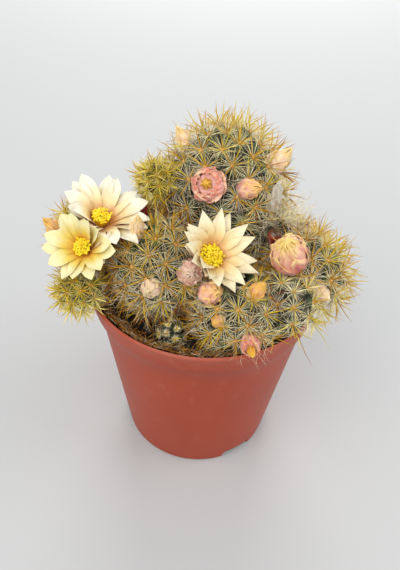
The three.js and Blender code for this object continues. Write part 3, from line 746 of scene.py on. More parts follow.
def spine_fan(stem, tips, out, count, tilt, length, radius, tone, own):
    """count spines round each nipple tip, tilt radians off its way out, as strand paths of three points.

    Spine k leaves at 2 pi (k + jitter) / count round the tip. Its middle bows outwards by 5 % of its length."""
    number = len(tips)
    tilt, length, tone = (np.broadcast_to(value, number) for value in (tilt, length, tone))
    side, up = square_to(out)
    turn = np.arange(count) + rng.uniform(-0.3, 0.3, (number, count)) + rng.random((number, 1))
    turn = turn * 2 * math.pi / count
    lean = tilt[:, None] + rng.normal(0, 0.13, (number, count))
    spread = spun(turn, side[:, None], up[:, None])
    way = unit(spun(lean, out[:, None], spread))
    base = tips[:, None] + 0.10 * stem["spacing"] * spread * np.sin(lean)[..., None] - 0.1 * out[:, None]
    size = length[:, None] * rng.uniform(0.78, 1.15, (number, count))
    way, base, size = way.reshape(-1, 3), base.reshape(-1, 3), size.ravel()
    outward = np.repeat(out, count, 0)
    free = room(base, way, size, own) if own else np.ones(len(size))
    keep = free > 0.12
    way, base, size, outward = way[keep], base[keep], (size * free)[keep], outward[keep]
    bow = 0.05 * size[:, None] * outward + rng.normal(0, 0.02, way.shape) * size[:, None]
    paths = np.stack([base, base + 0.5 * size[:, None] * way + bow, base + size[:, None] * way], 1)
    tones = np.clip(np.repeat(tone, count)[keep] + rng.normal(0, 0.045, keep.sum()), 0, 1)
    thick = radius * rng.uniform(0.85, 1.15, keep.sum())[:, None] * np.array([[1.0, 0.78]])
    return paths, thick, tones


def stem_spines(name, stem):
    """A stem's spines: fine pale radials flat over the nipples and stout golden centrals that stand out.

    Near the crown both stand up and turn gold. Low down the radials go grey and brown with age, and where a nipple
    faces a neighbouring stem its radials go browner and its centrals darker as painted shade. Beside the rim a few
    long ones hang over it. Nipples that a flower or bud covers keep short ones, pressed flat."""
    tips, out, age = nipples(stem)
    last = SPINED_TO_ON.get(name, SPINED_TO)
    shown = (age < last) & ~taken(tips - out * 0.4, name)
    pressed_flat = (age < last) & ~shown & ~in_pot(tips)
    for near in others(name):
        pressed_flat &= ~in_stem(tips, near, 0.3)
    hidden = tips[pressed_flat], out[pressed_flat]
    tips, out, age = tips[shown], out[shown], age[shown]
    young = 1 - smooth_step(age, 0.06, 0.26)
    old = smooth_step(age, 0.42, 0.75)
    gold = stem["gold"]
    radial_tone = 0.56 + stem["tint"] - 0.12 * young * gold + 0.09 * old + rng.normal(0, 0.04, len(tips))
    central_tone = 0.19 + 0.05 * young + (1 - gold) * 0.2 + rng.normal(0, 0.04, len(tips))
    # painted shade: nipples whose tips face a neighbouring stem get browner radials and darker centrals
    shade_between_stems = np.zeros(len(tips))
    for near in others(name):
        shade_between_stems = np.maximum(shade_between_stems, in_stem(tips + out * 2.5, near, 2.2))
    if stem["wool"] < 3:
        radial_tone, central_tone = radial_tone + 0.17 * shade_between_stems, central_tone - 0.1 * shade_between_stems
    x, y, z = tips.T
    low = (z > 48.2) & (z < 54) & (np.hypot(x, y) > 17) & (y < -6) & (x > -12) & (x < 24)
    low &= rng.random(len(tips)) < 0.6
    overhang = tips[low], unit(out[low] * [1, 1, 0.3] + [0, 0, 0.05])
    fans = [
        spine_fan(stem, tips, out, 21, 1.42 - 0.35 * young, stem["radial"] * (1.05 - 0.2 * young), 0.055,
                  radial_tone, name),
        spine_fan(stem, tips, out, 17, 1.16 - 0.3 * young, stem["radial"] * (0.88 - 0.15 * young), 0.045,
                  radial_tone + 0.02, name),
        spine_fan(stem, tips, out, stem["centrals"], 0.88 - 0.2 * young, stem["central"] * (1 - 0.12 * old), 0.15,
                  central_tone, name),
        spine_fan(stem, tips, out, 1, 0.25, stem["central"] * 1.05, 0.16, central_tone - 0.03, name),
        spine_fan(stem, *hidden, 18, 1.5, 0.62 * stem["spacing"], 0.045, 0.8, None),
        spine_fan(stem, *overhang, 1, 0.3, rng.uniform(6.5, 9.5, low.sum()), 0.1,
                  rng.choice([0.12, 0.3, 0.5], low.sum()), name),
    ]
    strand_piece(f"{name}_spines", fans)


def curls(base, way, length, curl, steps=5):
    """Wavy hairs: a path steps along its way, and each step turns by a random amount of curl."""
    count = len(base)
    turns = np.cumsum(rng.normal(0, curl, (count, steps - 1, 3)), 1)
    legs = unit(way[:, None] + turns) * (length / (steps - 1))[:, None, None]
    return np.concatenate([base[:, None], base[:, None] + np.cumsum(legs, 1)], 1)


def stem_wool(name, stem):
    """White wool in the grooves: hairs that start between nipples and wander over them."""
    tips, out, age = nipples(stem)
    each = max(2, round(5 * stem["wool"]))
    low = (age > 0.12) & (age < 0.82)
    tips, out, age = (np.repeat(a[low], each, 0) for a in (tips, out, age))
    side, up = square_to(out)
    spread = spun(rng.uniform(0, 2 * math.pi, len(tips)), side, up)
    base = tips + 0.55 * stem["spacing"] * spread - 0.25 * stem["spacing"] * out
    keep = ~taken(base, name)
    base, out, spread, age = base[keep], out[keep], spread[keep], age[keep]
    length = stem["spacing"] * rng.uniform(0.7, 1.5, len(base)) * (1 + 0.2 * (stem["wool"] - 0.6))
    paths = curls(base, unit(0.75 * out + 0.4 * spread), length, 0.5)
    free = ~taken(paths[:, 1:], name).any(1)
    paths, age = paths[free], age[free]
    radius = np.full((len(paths), paths.shape[1] - 1), 0.033)
    tone = np.clip(0.62 + 0.2 * smooth_step(age, 0.5, 0.8) + rng.normal(0, 0.04, len(paths)), 0, 1)
    strand_piece(f"{name}_wool", [(paths, radius, tone)])


# ---- petals -------------------------------------------------------------------------------------------
def petal_sheets(front, thickness):
    """Thin closed petals from a grid of points for each one's front (petals x rows x columns x 3).

    The front faces along the cross product of the columns' way and the rows' way. The back lies a thickness
    behind it, 70 % thinner at the side edges, and the two are joined all round."""
    count, rows, columns = front.shape[:3]
    normal = unit(np.cross(np.gradient(front, axis=2), np.gradient(front, axis=1)))
    u = np.linspace(-1, 1, columns)[:, None]
    points = np.stack([front, front - thickness * (1 - 0.7 * np.abs(u) ** 3) * normal], 1).reshape(count, -1, 3)
    size = rows * columns
    quads = grid_quads(rows, columns)
    r, c = np.arange(rows - 1), np.arange(columns - 1)
    left = np.stack([r * columns, (r + 1) * columns, size + (r + 1) * columns, size + r * columns], -1)
    right = left[:, ::-1] + columns - 1
    foot = np.stack([c + 1, c, size + c, size + c + 1], -1)
    tip = foot[:, ::-1] + (rows - 1) * columns
    faces = np.concatenate([quads, quads[:, ::-1] + size, left, right, foot, tip])
    places = np.stack(np.broadcast_arrays((u.ravel() + 1) / 2, np.linspace(0, 1, rows)[:, None]), -1).reshape(-1, 2)
    uv = np.tile(np.concatenate([places, places])[faces].reshape(-1, 2), (count, 1))
    behind = np.tile(np.repeat([0.0, 1.0], size), count)
    return points.reshape(-1, 3), copies(count, 2 * size, faces), uv, behind


def outline(t, widest, sharpness, foot=0.34):
    """A petal's half width along it, from foot up a sine to 1 at t = widest, then down 1 - s^sharpness to its tip."""
    rise = foot + (1 - foot) * np.sin(math.pi / 2 * np.clip(t / widest, 0, 1)) ** 1.4
    return rise * (1 - np.clip((t - widest) / (1 - widest), 0, 0.995) ** sharpness)


def open_whorl(flower, count, turn, start, bend, tip, width, recurve=0.0, shorter=1.0, rows=22, columns=11):
    """A ring of petals that part at the throat.

    Each midline is a quadratic curve in (radius, height) through start, bend and tip, scaled round the flower
    by its reach x shorter and its lift, and its tip drops by recurve t^4. Across it, as shares of its half width,
    the petal is cupped by 0.26 u^2, folded along the middle by -0.1 exp(-(u/0.15)^2), and ruffled by
    0.1 u^4 sin(11 t + a + u) at the edges and 0.05 t sin(9 u + a) towards the tip."""
    size = flower["size"]
    axis, side, up = frame_of(flower)
    angle = turn + flower["turn"] + np.arange(count) * 2 * math.pi / count + rng.normal(0, 0.06, count)
    reach, lift = (eighths(flower[key], angle % (2 * math.pi)) * rng.normal(1, 0.04, count)
                   for key in ("reach", "lift"))
    reach = reach * shorter
    t = np.linspace(0, 1, rows)[None] ** 0.9
    curve = lambda a, b, c: (1 - t) ** 2 * a + 2 * t * (1 - t) * b + t**2 * c
    radius = curve(start[0], bend[0] * reach[:, None] ** 0.5, tip[0] * reach[:, None]) * size
    height = curve(start[1], bend[1] * lift[:, None], tip[1] * lift[:, None]) * size - recurve * size * t**4
    out = spun(angle, side, up)
    across = np.cross(axis, out)
    sway = rng.normal(0, 0.4, count)[:, None] * size * t**2
    middle = (np.array(flower["throat"]) + radius[..., None] * out[:, None] + height[..., None] * axis
              + sway[..., None] * across[:, None])
    wide = np.broadcast_to(across[:, None], middle.shape)
    normal = unit(np.cross(unit(np.gradient(middle, axis=1)), wide))
    roll = rng.normal(0, 0.2, count)[:, None, None] * t[..., None]
    wide, normal = wide + roll * normal, normal - roll * wide
    half = width / 2 * size * outline(t, flower["widest"], flower["sharpness"]) * rng.normal(1, 0.06, count)[:, None]
    half = half[..., None]
    u = np.linspace(1, -1, columns)
    phase = rng.uniform(0, 6.3, (count, 1, 1))
    cup = 0.26 * u**2 - 0.10 * np.exp(-((u / 0.15) ** 2)) + 0.10 * u**4 * np.sin(11 * t[..., None] + phase + u)
    cup = cup + 0.05 * np.sin(9 * u + phase) * t[..., None]
    front = (middle[:, :, None] + (half * u)[..., None] * wide[:, :, None]
             + (half * cup)[..., None] * normal[:, :, None])
    return petal_sheets(front, 0.13)


def petals_piece(name, sheets, finish, replaces):
    """One piece from several batches of petals."""
    points, faces, uv, behind = zip(*sheets)
    starts = np.cumsum([0, *map(len, points)])
    faces = np.concatenate([quads + start for (quads,), start in zip(faces, starts)])
    piece(name, np.concatenate(points), [faces], PETALS[finish], replaces, uv=np.concatenate(uv),
          uv_name="petal", values=dict(behind=np.concatenate(behind)), sharp=60)


def plain_back(name, points, faces, finish, place):
    """A piece that shows only the back of a petal finish, all from one place on its map."""
    piece(name, points, faces, PETALS[finish], uv=np.tile(place, (sum(f.size for f in faces), 1)),
          uv_name="petal", values=dict(behind=np.ones(len(points))))


def stamen_tuft(name, flower, base):
    """Stamens: filaments that splay from a disc, each with an anther of two rings of six points.

    Stamen i leaves at i golden angles round, splayed by half a radian x tuft x sqrt((i + 0.5) / count)."""
    axis, side, up = frame_of(flower)
    wide = flower["tuft"]
    count = round(120 * wide**2)
    i = np.arange(count)
    share = np.sqrt((i + 0.5) / count)
    out = spun(i * GOLDEN_ANGLE, side, up)
    way = spun(0.5 * wide * share * rng.normal(1, 0.12, count), axis, out)
    foot = np.array(base) + (0.9 * wide * share)[:, None] * out
    length = 3.9 * flower["size"] * rng.uniform(0.72, 1.05, count) * (1 - 0.12 * share)
    inward = unit(way - 0.35 * share[:, None] * out)
    mid = foot + 0.6 * length[:, None] * way
    tip = mid + 0.4 * length[:, None] * inward
    paths = np.stack([foot, mid, tip + 0.05 * way], 1)
    tube_points, tube_faces, _ = strands(paths, np.full((count, 2), 0.12), np.zeros(count))
    a_side, a_up = square_to(unit(way + rng.normal(0, 0.5, way.shape)))
    long_way = np.cross(a_side, a_up)
    ring = spun(np.arange(6) * math.pi / 3, a_side[:, None], a_up[:, None])
    size = 0.30 * rng.uniform(0.8, 1.2, count)[:, None, None]
    rings = [tip[:, None] + size * (0.75 * ring + high * long_way[:, None]) for high in (-0.55, 0.55)]
    ends = [(tip + size[:, 0] * high * long_way)[:, None] for high in (-1.05, 1.05)]
    anthers = np.concatenate([*rings, *ends], 1)
    closed = np.concatenate([fan(6, 6, 13), fan(0, 6, 12, False)])
    shape = anthers.reshape(-1, 3), copies(count, 14, grid_quads(2, 6, True), closed)
    points, faces = joined([(tube_points, tube_faces), shape])
    anther = np.concatenate([np.zeros(len(tube_points)), np.ones(len(shape[0]))])
    piece(f"{name}_stamen_tuft", points, faces, POLLEN, [f"{name}_stamens"], values=dict(anther=anther),
          sharp=50)


def open_flower(name, front, backed):
    """An open flower: two rings of petals in a funnel, the outer ring, the flower tube, stamens and the pistil."""
    flower = OPEN_FLOWERS[name]
    many = flower["petals"]
    inner = [open_whorl(flower, many, 0.0, (0.9, -1.2), (3.2, 3.0), (9.4, 5.3), 3.9, 0.5),
             open_whorl(flower, many, math.pi / many, (1.0, -1.4), (3.5, 2.6), (9.5, 4.9), 3.9, 0.6)]
    outer = [open_whorl(flower, many + 1, 0.18, (1.2, -1.8), (3.9, 1.9), (9.6, 3.9), 3.4, 1.2, 0.84)]
    petals_piece(f"{name}_inner_petals_sheet", inner, front, [f"{name}_inner_petals"])
    petals_piece(f"{name}_outer_petals_sheet", outer, backed, [f"{name}_outer_petals"])
    axis = unit(flower["axis"])
    throat = np.array(flower["throat"])
    share = np.linspace(0, 1, 12)
    tube = [(0, 0), *zip(1.25 + 0.85 * share**2, 7.4 * share), (0, 6.6)]
    points, faces = turned(tube, 24, throat - 8.6 * axis, axis)
    plain_back(f"{name}_tube", points, faces, backed, [0.5, 0.2])
    stamen_tuft(name, flower, throat - 0.7 * axis)
    out = spun(np.arange(6) * math.pi / 3, *square_to(axis))
    top = throat + 3.8 * flower["size"] * axis
    paths = np.stack([np.tile(top - 4 * axis, (6, 1)), np.tile(top, (6, 1)), top + 0.35 * axis + 0.5 * out,
                      top + 0.2 * axis + 1.0 * out], 1)
    points, faces, _ = strands(paths, np.tile([0.14, 0.16, 0.17], (6, 1)), np.zeros(6))
    piece(f"{name}_stigma", points, faces, POLLEN, [f"{name}_pistil"],
          values=dict(anther=np.zeros(len(points))), sharp=80)


def bulb_profile(s, pointed, mouth=0.1):
    """A bulb's radius and height at share s of the way up, both as shares of its own.

    The pointed form is (s + 0.04)^0.45 (1.02 - s)^1.15 wide, scaled to 1. The domed form turns from 0.13 pi at
    its foot to (1 - mouth) pi at its top, with radius sin^0.8 and height (1.02 - cos) / 2.02. pointed mixes them."""
    theta = math.pi * (0.13 + (0.87 - mouth) * s)
    sharp = (s + 0.04) ** 0.45 * np.clip(1.02 - s, 0, 1) ** 1.15 / 0.424
    return (pointed * sharp + (1 - pointed) * np.sin(theta) ** 0.8,
            pointed * s + (1 - pointed) * (1.02 - np.cos(theta)) / 2.02)


def wrapped_whorl(bulb, count, turn, girth, pointed, mouth=0.1, top=1.0, crumple=0.05, overlap=1.5, sharpness=2.2,
                  flare=0.0, rows=20, columns=11):
    """Petals wrapped round a bulb, up to share top of its height.

    A petal point at u from 1 to -1 across stands at azimuth angle + u overlap pi/count x the petal's outline, on
    the bulb's profile x girth. It is pushed out by flare t^5, 0.06 u^2 at the edges, a keel of 0.05 exp(-(u/0.2)^2)
    and crumple x sines of u and t with random phases."""
    axis, side, up = frame_of(bulb)
    angle = turn + np.arange(count) * 2 * math.pi / count + rng.normal(0, 0.1, count)
    t = np.linspace(0, 1, rows)[None, :, None]
    u = np.linspace(1, -1, columns)[None, None]
    s = np.clip(t * top * (1 - 0.08 * u**2 * t) * rng.normal(1, 0.03, (count, 1, 1)), 0, 1)
    radius, height = bulb_profile(s, pointed, mouth)
    phase, phase2 = rng.uniform(0, 6.3, (2, count, 1, 1))
    creases = (np.sin(7 * u + phase + 2 * t) + np.sin(12 * t + phase2 + 3 * u)) * crumple * (0.25 + t)
    push = 0.06 * u**2 + 0.05 * np.exp(-((u / 0.2) ** 2)) * t + creases + flare * t**5
    radius = bulb["radius"] * girth * (radius + push * np.clip(radius * 2, 0.15, 1))
    azimuth = (angle[:, None, None] + u * overlap * math.pi / count * outline(t, 0.45, sharpness, 0.7)
               + 0.12 * t * np.sin(phase))
    front = (np.array(bulb["foot"]) + radius[..., None] * spun(azimuth, side, up)
             + (bulb["length"] * height)[..., None] * axis)
    return petal_sheets(front, 0.12)


def bulb_core(name, bulb, finish, pointed, mouth=0.1, girth=0.8, share=0.85):
    """The closed body inside wrapped petals: the bulb's profile x girth and share, carried round its axis."""
    s = np.linspace(0, 1, 16)
    radius, height = bulb_profile(s, pointed, mouth)
    profile = np.stack([bulb["radius"] * girth * radius, bulb["length"] * share * height], -1)
    profile = np.concatenate([[(0, profile[0, 1])], profile[:-1], [(0, profile[-1, 1])]])
    points, faces = turned(profile, 24, bulb["foot"], bulb["axis"])
    plain_back(f"{name}_core", points, faces, finish, [0.3, 0.75])


def bud(name, bulb):
    """A pointed bud: two rings of wrapped petals and short ones at its foot, over a core."""
    finish = f'{bulb["finish"]}_bud'
    sheets = [wrapped_whorl(bulb, 4, 0.0, 1.0, 1.0, top=0.96, sharpness=1.6, crumple=0.07),
              wrapped_whorl(bulb, 4, 0.8, 0.9, 1.0, sharpness=1.5, crumple=0.05, flare=0.1),
              wrapped_whorl(bulb, 5, 0.3, 1.06, 1.0, top=0.62, sharpness=1.6, flare=0.06, crumple=0.07)]
    petals_piece(f"{name}_wrapped", sheets, finish, [name])
    bulb_core(name, bulb, finish, 1.0)


def closed_flower(name, finish, heart, mouth, pointed=0.0, crest=0.98, girths=(0.42, 0.3, 0.18)):
    """A flower that has folded up again: rings of wrapped petals that bend in over the top, and crumpled petal
    tips in the mouth between them, crest x as long and as wide as each of girths."""
    bulb = CLOSED_FLOWERS[name]
    form = dict(pointed=pointed, mouth=mouth)
    sheets = [wrapped_whorl(bulb, 6, 0.0, 1.0, **form, crumple=0.05, sharpness=6, top=0.97),
              wrapped_whorl(bulb, 6, 0.5, 0.96, **form, crumple=0.055, sharpness=6, overlap=1.4),
              wrapped_whorl(bulb, 5, 0.2, 1.04, **form, crumple=0.07, sharpness=2.5, top=0.7, flare=0.05),
              wrapped_whorl(bulb, 7, 0.9, 0.91, **form, crumple=0.06, sharpness=6, overlap=1.4)]
    petals_piece(f"{name}_wrapped", sheets, finish, [f"{name}_petals"])
    short = dict(bulb, length=bulb["length"] * crest)
    crumpled = [wrapped_whorl(short, 6, turn, girth, 0.5, 0.0, crumple=0.2, overlap=1.2, sharpness=4, flare=0.1)
                for girth, turn in zip(girths, (0.3, 0.8, 0.1))]
    petals_piece(f"{name}_crumpled", crumpled, heart, [f"{name}_heart"])
    bulb_core(name, bulb, finish, pointed, mouth, 0.88, 0.84)


def dried_flower():
    """An old flower's papery husk that still hangs on the right of the main stem."""
    husk = dict(foot=(13.8, 1.4, 66.2), axis=(0.16, 0.12, 0.97), length=6.8, radius=1.25)
    sheets = [wrapped_whorl(husk, 4, turn, girth, 0.6, crumple=0.16, flare=0.2, top=top, sharpness=2.0)
              for turn, girth, top in ((0.0, 1.0, 0.95), (0.8, 0.8, 1.0), (0.3, 1.1, 0.6))]
    petals_piece("dried_flower", sheets, "papery_husk", [])
    bulb_core("dried_flower", husk, "papery_husk", 0.6, girth=0.7)


def foot_wool(name, bulb):
    """White hairs that rise round the foot of a bud from the groove it grows in, longest on the hairy buds."""
    hairy = bulb.get("finish") in ("pale", "wilted") or name == "flower_faded"
    count = round((16 + 14 * bulb["radius"]) * (3.5 if hairy else 1))
    axis, side, up = frame_of(bulb)
    out = spun(rng.uniform(0, 2 * math.pi, count), side, up)
    base = np.array(bulb["foot"]) + bulb["radius"] * rng.uniform(0.8, 1.35, (count, 1)) * out - 0.2 * axis
    way = unit(0.8 * axis + 0.5 * out + rng.normal(0, 0.25, (count, 3)))
    paths = curls(base, way, bulb["length"] * rng.uniform(0.3, 1.15 if hairy else 0.75, count), 0.4)
    return paths, np.full((count, 4), 0.03), np.clip(rng.normal(0.63, 0.05, count), 0, 1)


def berry(name, fruit):
    """A club-shaped fruit with a shrivelled tuft on its end.

    Its radius grows as 0.45 + 0.55 sin(pi s / 2), and turns in as a quarter ellipse over the last fifth."""
    s = np.linspace(0, 1, 18)
    round_end = np.sqrt(np.clip(1 - np.clip((s - 0.8) / 0.2, 0, 1) ** 2, 0, 1))
    profile = np.stack([fruit["radius"] * (0.45 + 0.55 * np.sin(0.5 * math.pi * s)) * round_end,
                        fruit["length"] * s], -1)
    profile = np.concatenate([[(0, 0)], profile[:-1], [(0, fruit["length"])]])
    points, faces = turned(profile, 28, fruit["foot"], fruit["axis"])
    along, _ = from_axis(points, fruit["foot"], fruit["axis"])
    piece(f"{name}_berry", points, faces, BERRY, [name], values=dict(along=along / fruit["length"]))
    count = 14
    axis = unit(fruit["axis"])
    top = np.array(fruit["foot"]) + 0.96 * fruit["length"] * axis
    base = top + rng.normal(0, 0.18, (count, 3))
    paths = curls(base, np.tile(axis, (count, 1)) + rng.normal(0, 0.25, (count, 3)), np.full(count, 1.6), 0.35)
    strand_piece(f"{name}_remnant", [(paths, np.full((count, 4), 0.09), np.full(count, 0.88))])


# ---- pot, soil and table ------------------------------------------------------------------------------
def rounded(corners, radii, steps=4):
    """A profile through corners, each rounded by a quadratic curve that starts and ends its radius away."""
    path = [np.array(corners[0], float)]
    for before, here, after, radius in zip(corners, corners[1:], corners[2:], radii):
        before, here, after = (np.array(p, float) for p in (before, here, after))
        enter = here + unit(before - here) * min(radius, np.linalg.norm(before - here) / 2.1)
        leave = here + unit(after - here) * min(radius, np.linalg.norm(after - here) / 2.1)
        for t in np.linspace(0, 1, steps + 1):
            path.append((1 - t) ** 2 * enter + 2 * t * (1 - t) * here + t**2 * leave)
    path.append(np.array(corners[-1], float))
    return np.array(path)


def pot_body():
    """The pot: its wall's profile, out and back in, carried round the axis, with drainage windows at the base.

    The outer and inner skins are two grids with the same columns. In a window's columns the rows between the
    underside's inner edge and the notch's top are left out of both, and four strips join the two skins' edges."""
    d = DRAIN
    wall, floor, height, base = POT["wall"], POT["floor"], POT["height"], POT["base_radius"]
    slope = (POT["neck_radius"] - base) / POT["neck_height"]
    lip, lip_radius = height - 0.6, POT["lip_radius"]
    notch = [(d["inner_radius"], 0), (base - POT["base_chamfer"], 0), (base, POT["base_chamfer"]),
             (base + slope * d["height"], d["height"])]
    upper = rounded([notch[-1], (POT["neck_radius"], POT["neck_height"] - 0.3),
                     (POT["collar_radius"], POT["collar_height"] + 0.5), (lip_radius - 0.25, lip - 0.6),
                     (lip_radius, lip), (lip_radius - 0.5, height)], [4.0, 4.0, 0.3, 0.3])
    inner_top = rounded([(lip_radius - 0.5, height), (lip_radius - wall, lip + 0.2),
                         (POT["collar_radius"] - wall, POT["collar_height"] + 0.3),
                         (POT["neck_radius"] - wall, POT["neck_height"] + 0.3),
                         (base - wall + slope * d["height"], d["height"])], [0.3, 0.4, 0.4])
    inner_notch = [(base - wall + 0.05, floor + 0.4), (base - wall - 0.4, floor), (d["inner_radius"], floor)]
    rows = np.concatenate([[(0, 0), (8, 0)], notch[:-1], upper, inner_top[1:], inner_notch, [(8, floor), (0, floor)]])
    low, high = 2, 5  # the outer skin's rows at the window's foot and top, and below the inner skin's
    low_in, high_in = len(rows) - 3, len(rows) - 6
    half_low = math.asin(d["width"] / 2 / base)
    half_high = math.asin(d["top_width"] / 2 / base)
    per, inside = 64, 9  # columns for each window and its share of the wall, and in the window
    share = np.concatenate([np.linspace(-1, 1, inside), 1 + np.arange(1, per - inside + 1) / (per - inside + 1)])
    third = 2 * math.pi / d["count"]
    half = (half_low + (half_high - half_low) * np.clip(rows[:, 1] / d["height"], 0, 1))[:, None]
    one = np.concatenate([share[:inside] * half, half + (share[inside:] - 1) * (third - 2 * half)], 1)
    angles = np.concatenate([math.radians(d["first"]) + k * third + one for k in range(d["count"])], 1)
    columns = angles.shape[1]
    points = np.stack([rows[:, :1] * np.cos(angles), rows[:, :1] * np.sin(angles),
                       np.broadcast_to(rows[:, 1:], angles.shape)], -1)
    quads = grid_quads(len(rows) - 2, columns, True) + columns
    row, column = quads[:, 0] // columns, quads[:, 0] % columns
    cut = ((row >= low) & (row < high)) | ((row >= high_in) & (row < low_in))
    quads = quads[~(cut & (column % per < inside - 1))]

    def strip(*places):
        return [r * columns + c % columns for r, c in places]

    strips = []
    for c0 in range(0, columns, per):
        for c in range(c0, c0 + inside - 1):
            strips.append(strip((low_in, c + 1), (low_in, c), (low, c), (low, c + 1)))
            strips.append(strip((high_in, c), (high_in, c + 1), (high, c + 1), (high, c)))
        for j in range(high - low):
            for c, flip in ((c0, -1), (c0 + inside - 1, 1)):
                strips.append(strip((low + j, c), (low + j + 1, c), (low_in - j - 1, c), (low_in - j, c))[::flip])
    flat = points.reshape(-1, 3)
    middle = np.array([[0, 0, rows[0, 1]], [0, 0, rows[-1, 1]]])
    first, last = columns, (len(rows) - 2) * columns
    fans = caps(first, last, columns, len(flat))
    all_points = np.concatenate([flat, middle])
    used = np.unique(np.concatenate([quads.ravel(), np.ravel(strips), fans.ravel()]))
    renumber = np.full(len(all_points), -1)
    renumber[used] = np.arange(len(used))
    faces = [renumber[np.concatenate([quads, strips])], renumber[fans]]
    piece("pot_shell", all_points[used], faces, PLASTIC, ["pot"], sharp=32)


def bumps(x, y, seed, scale, octaves=4):
    """A sum of octaves of rotated sine products, each half as wide and 0.6 as high as the one before."""
    spin = np.random.default_rng(seed)
    total = np.zeros_like(x)
    for k in range(octaves):
        for _ in range(3):
            a, phase, phase2 = spin.uniform(0, 2 * math.pi, 3)
            u = (x * math.cos(a) + y * math.sin(a)) * scale * 2**k
            v = (y * math.cos(a) - x * math.sin(a)) * scale * 2**k
            total += 0.6**k * np.sin(u + phase + 1.3 * np.sin(v * 0.7 + phase2)) * np.sin(v + phase2)
    return total


def soil_height(x, y):
    """The soil's top: a low crown, lumpy, and banked up loosely beside the wall, most at the left front."""
    r = np.hypot(x, y) / 25
    side = 0.55 - 0.45 * np.sin(np.arctan2(y, x) + 0.7)
    bank = (1.0 + 0.12 * bumps(x, y, 5, 0.45, 2)) * side * smooth_step(r, 0.84, 1.0)
    return SOIL_TOP + SOIL_CROWN * (1 - r**2) + 0.16 * bumps(x, y, 3, 0.9) + 3.6 * bank


def soil_body():
    """The soil: a lumpy disc on a tapered plug that fills the pot."""
    radii = np.linspace(0, POT["collar_radius"] - POT["wall"] - 0.75, 90)[1:]
    columns = 200
    angle = np.linspace(0, 2 * math.pi, columns, endpoint=False)
    x, y = radii[:, None] * np.cos(angle), radii[:, None] * np.sin(angle)
    top = np.stack([x, y, soil_height(x, y)], -1)[::-1]
    plug = []
    for radius, z in ((POT["neck_radius"] - POT["wall"] - 0.3, POT["neck_height"]),
                      (POT["base_radius"] - POT["wall"] - 0.1, POT["floor"] + 0.3)):
        plug.append(np.stack([radius * np.cos(angle), radius * np.sin(angle), np.full(columns, z)], -1))
    points = np.concatenate([np.array(plug)[::-1], top]).reshape(-1, 3)
    rows = len(points) // columns
    ends = np.array([[0, 0, POT["floor"] + 0.3], [0, 0, float(soil_height(np.zeros(1), np.zeros(1))[0])]])
    fans = caps(0, (rows - 1) * columns, columns, len(points))
    piece("soil_fill", np.concatenate([points, ends]), [grid_quads(rows, columns, True), fans], PEAT,
          ["soil"], sharp=80)


def soil_crumbs():
    """Crumbs of peat and bark: octahedra with every corner pushed in or out at random, on the soil's top."""
    count = 1500
    radius = 24.6 * np.sqrt(rng.random(count))
    angle = rng.uniform(0, 2 * math.pi, count)
    x, y = radius * np.cos(angle), radius * np.sin(angle)
    size = rng.gamma(2.2, 0.13, count) + 0.12
    corners = np.array([[1, 0, 0], [0, 1, 0], [-1, 0, 0], [0, -1, 0], [0, 0, 1], [0, 0, -1]], float)
    turn = np.linalg.qr(rng.normal(size=(count, 3, 3)))[0]
    turn[:, 0] *= np.sign(np.linalg.det(turn))[:, None]
    shape = np.einsum("nij,kj->nki", turn, corners) * rng.uniform(0.6, 1.3, (count, 6, 1)) * size[:, None, None]
    centre = np.stack([x, y, soil_height(x, y) + 0.25 * size], -1)
    points = (centre[:, None] + shape).reshape(-1, 3)
    faces = copies(count, 6, np.concatenate([fan(0, 4, 4), fan(0, 4, 5, False)]))
    piece("soil_crumbs", points, faces, PEAT, sharp=30)


def soil_fibres():
    """Tan coir fibres along the rim, and dry grey hair matted between the necks of the stems."""

    def sideways(angle):
        tangent = np.stack([-np.sin(angle), np.cos(angle), 0 * angle], -1)
        return tangent * rng.choice([-1, 1], (len(angle), 1))

    def coloured(paths, thick, brown, brown_to, pale, pale_to):
        count = len(paths)
        tone = np.where(rng.random(count) < brown, rng.uniform(0.05, brown_to, count),
                        rng.uniform(pale, pale_to, count))
        return paths, np.full((count, 4), thick), tone

    count = 900
    angle = rng.uniform(0, 2 * math.pi, count)
    radius = 25.3 - rng.exponential(0.9, count)
    x, y = radius * np.cos(angle), radius * np.sin(angle)
    base = np.stack([x, y, soil_height(x, y) + rng.uniform(0, 0.6, count)], -1)
    way = unit(sideways(angle) + rng.normal(0, 0.45, (count, 3)) + [0, 0, 0.3])
    fibres = curls(base, way, rng.uniform(1.2, 5, count), 0.3)
    r, z = np.hypot(fibres[..., 0], fibres[..., 1]), fibres[..., 2]
    inside = (r < 25.6 + 0.2 * (z - 44)) & (z < 48.6) & (z > SOIL_TOP - 0.5)
    batches = [coloured(fibres[inside.all(1)], 0.08, 0.4, 0.13, 0.8, 0.95)]
    count = 520
    angle = rng.uniform(0.98, 1.62, count) * math.pi
    radius = 26.1 - rng.exponential(0.55, count)
    base = np.stack([radius * np.cos(angle), radius * np.sin(angle), 47.7 - 1.1 * (26.1 - radius)], -1)
    edge = curls(base, unit(sideways(angle) + rng.normal(0, 0.5, (count, 3))), rng.uniform(0.7, 2.6, count), 0.35)
    inside = (np.hypot(edge[..., 0], edge[..., 1]) < 26.4) & (edge[..., 2] < 48.9)
    batches.append(coloured(edge[inside.all(1)], 0.085, 0.5, 0.12, 0.78, 0.93))
    mats = []
    for name, stem in STEMS.items():
        count = int(34 * stem["radius"])
        root, centre = np.array(stem["root"], float), np.array(stem["centre"], float)
        share = rng.uniform(0.05, 0.75, count)[:, None]
        way = unit(centre - root)
        out = spun(rng.uniform(0, 2 * math.pi, count), *square_to(way))
        base = root + (centre - root) * share + out * stem["radius"] * 0.66
        hair = curls(base, unit(out + 0.4 * way + rng.normal(0, 0.35, (count, 3))), rng.uniform(2.5, 6, count), 0.45)
        free = ~taken(hair, name).any(1)
        mats.append((hair[free], np.full((free.sum(), 4), 0.045), rng.uniform(0.66, 0.99, free.sum())))
    strand_piece("soil_fibres", batches)
    strand_piece("dry_hair", mats)


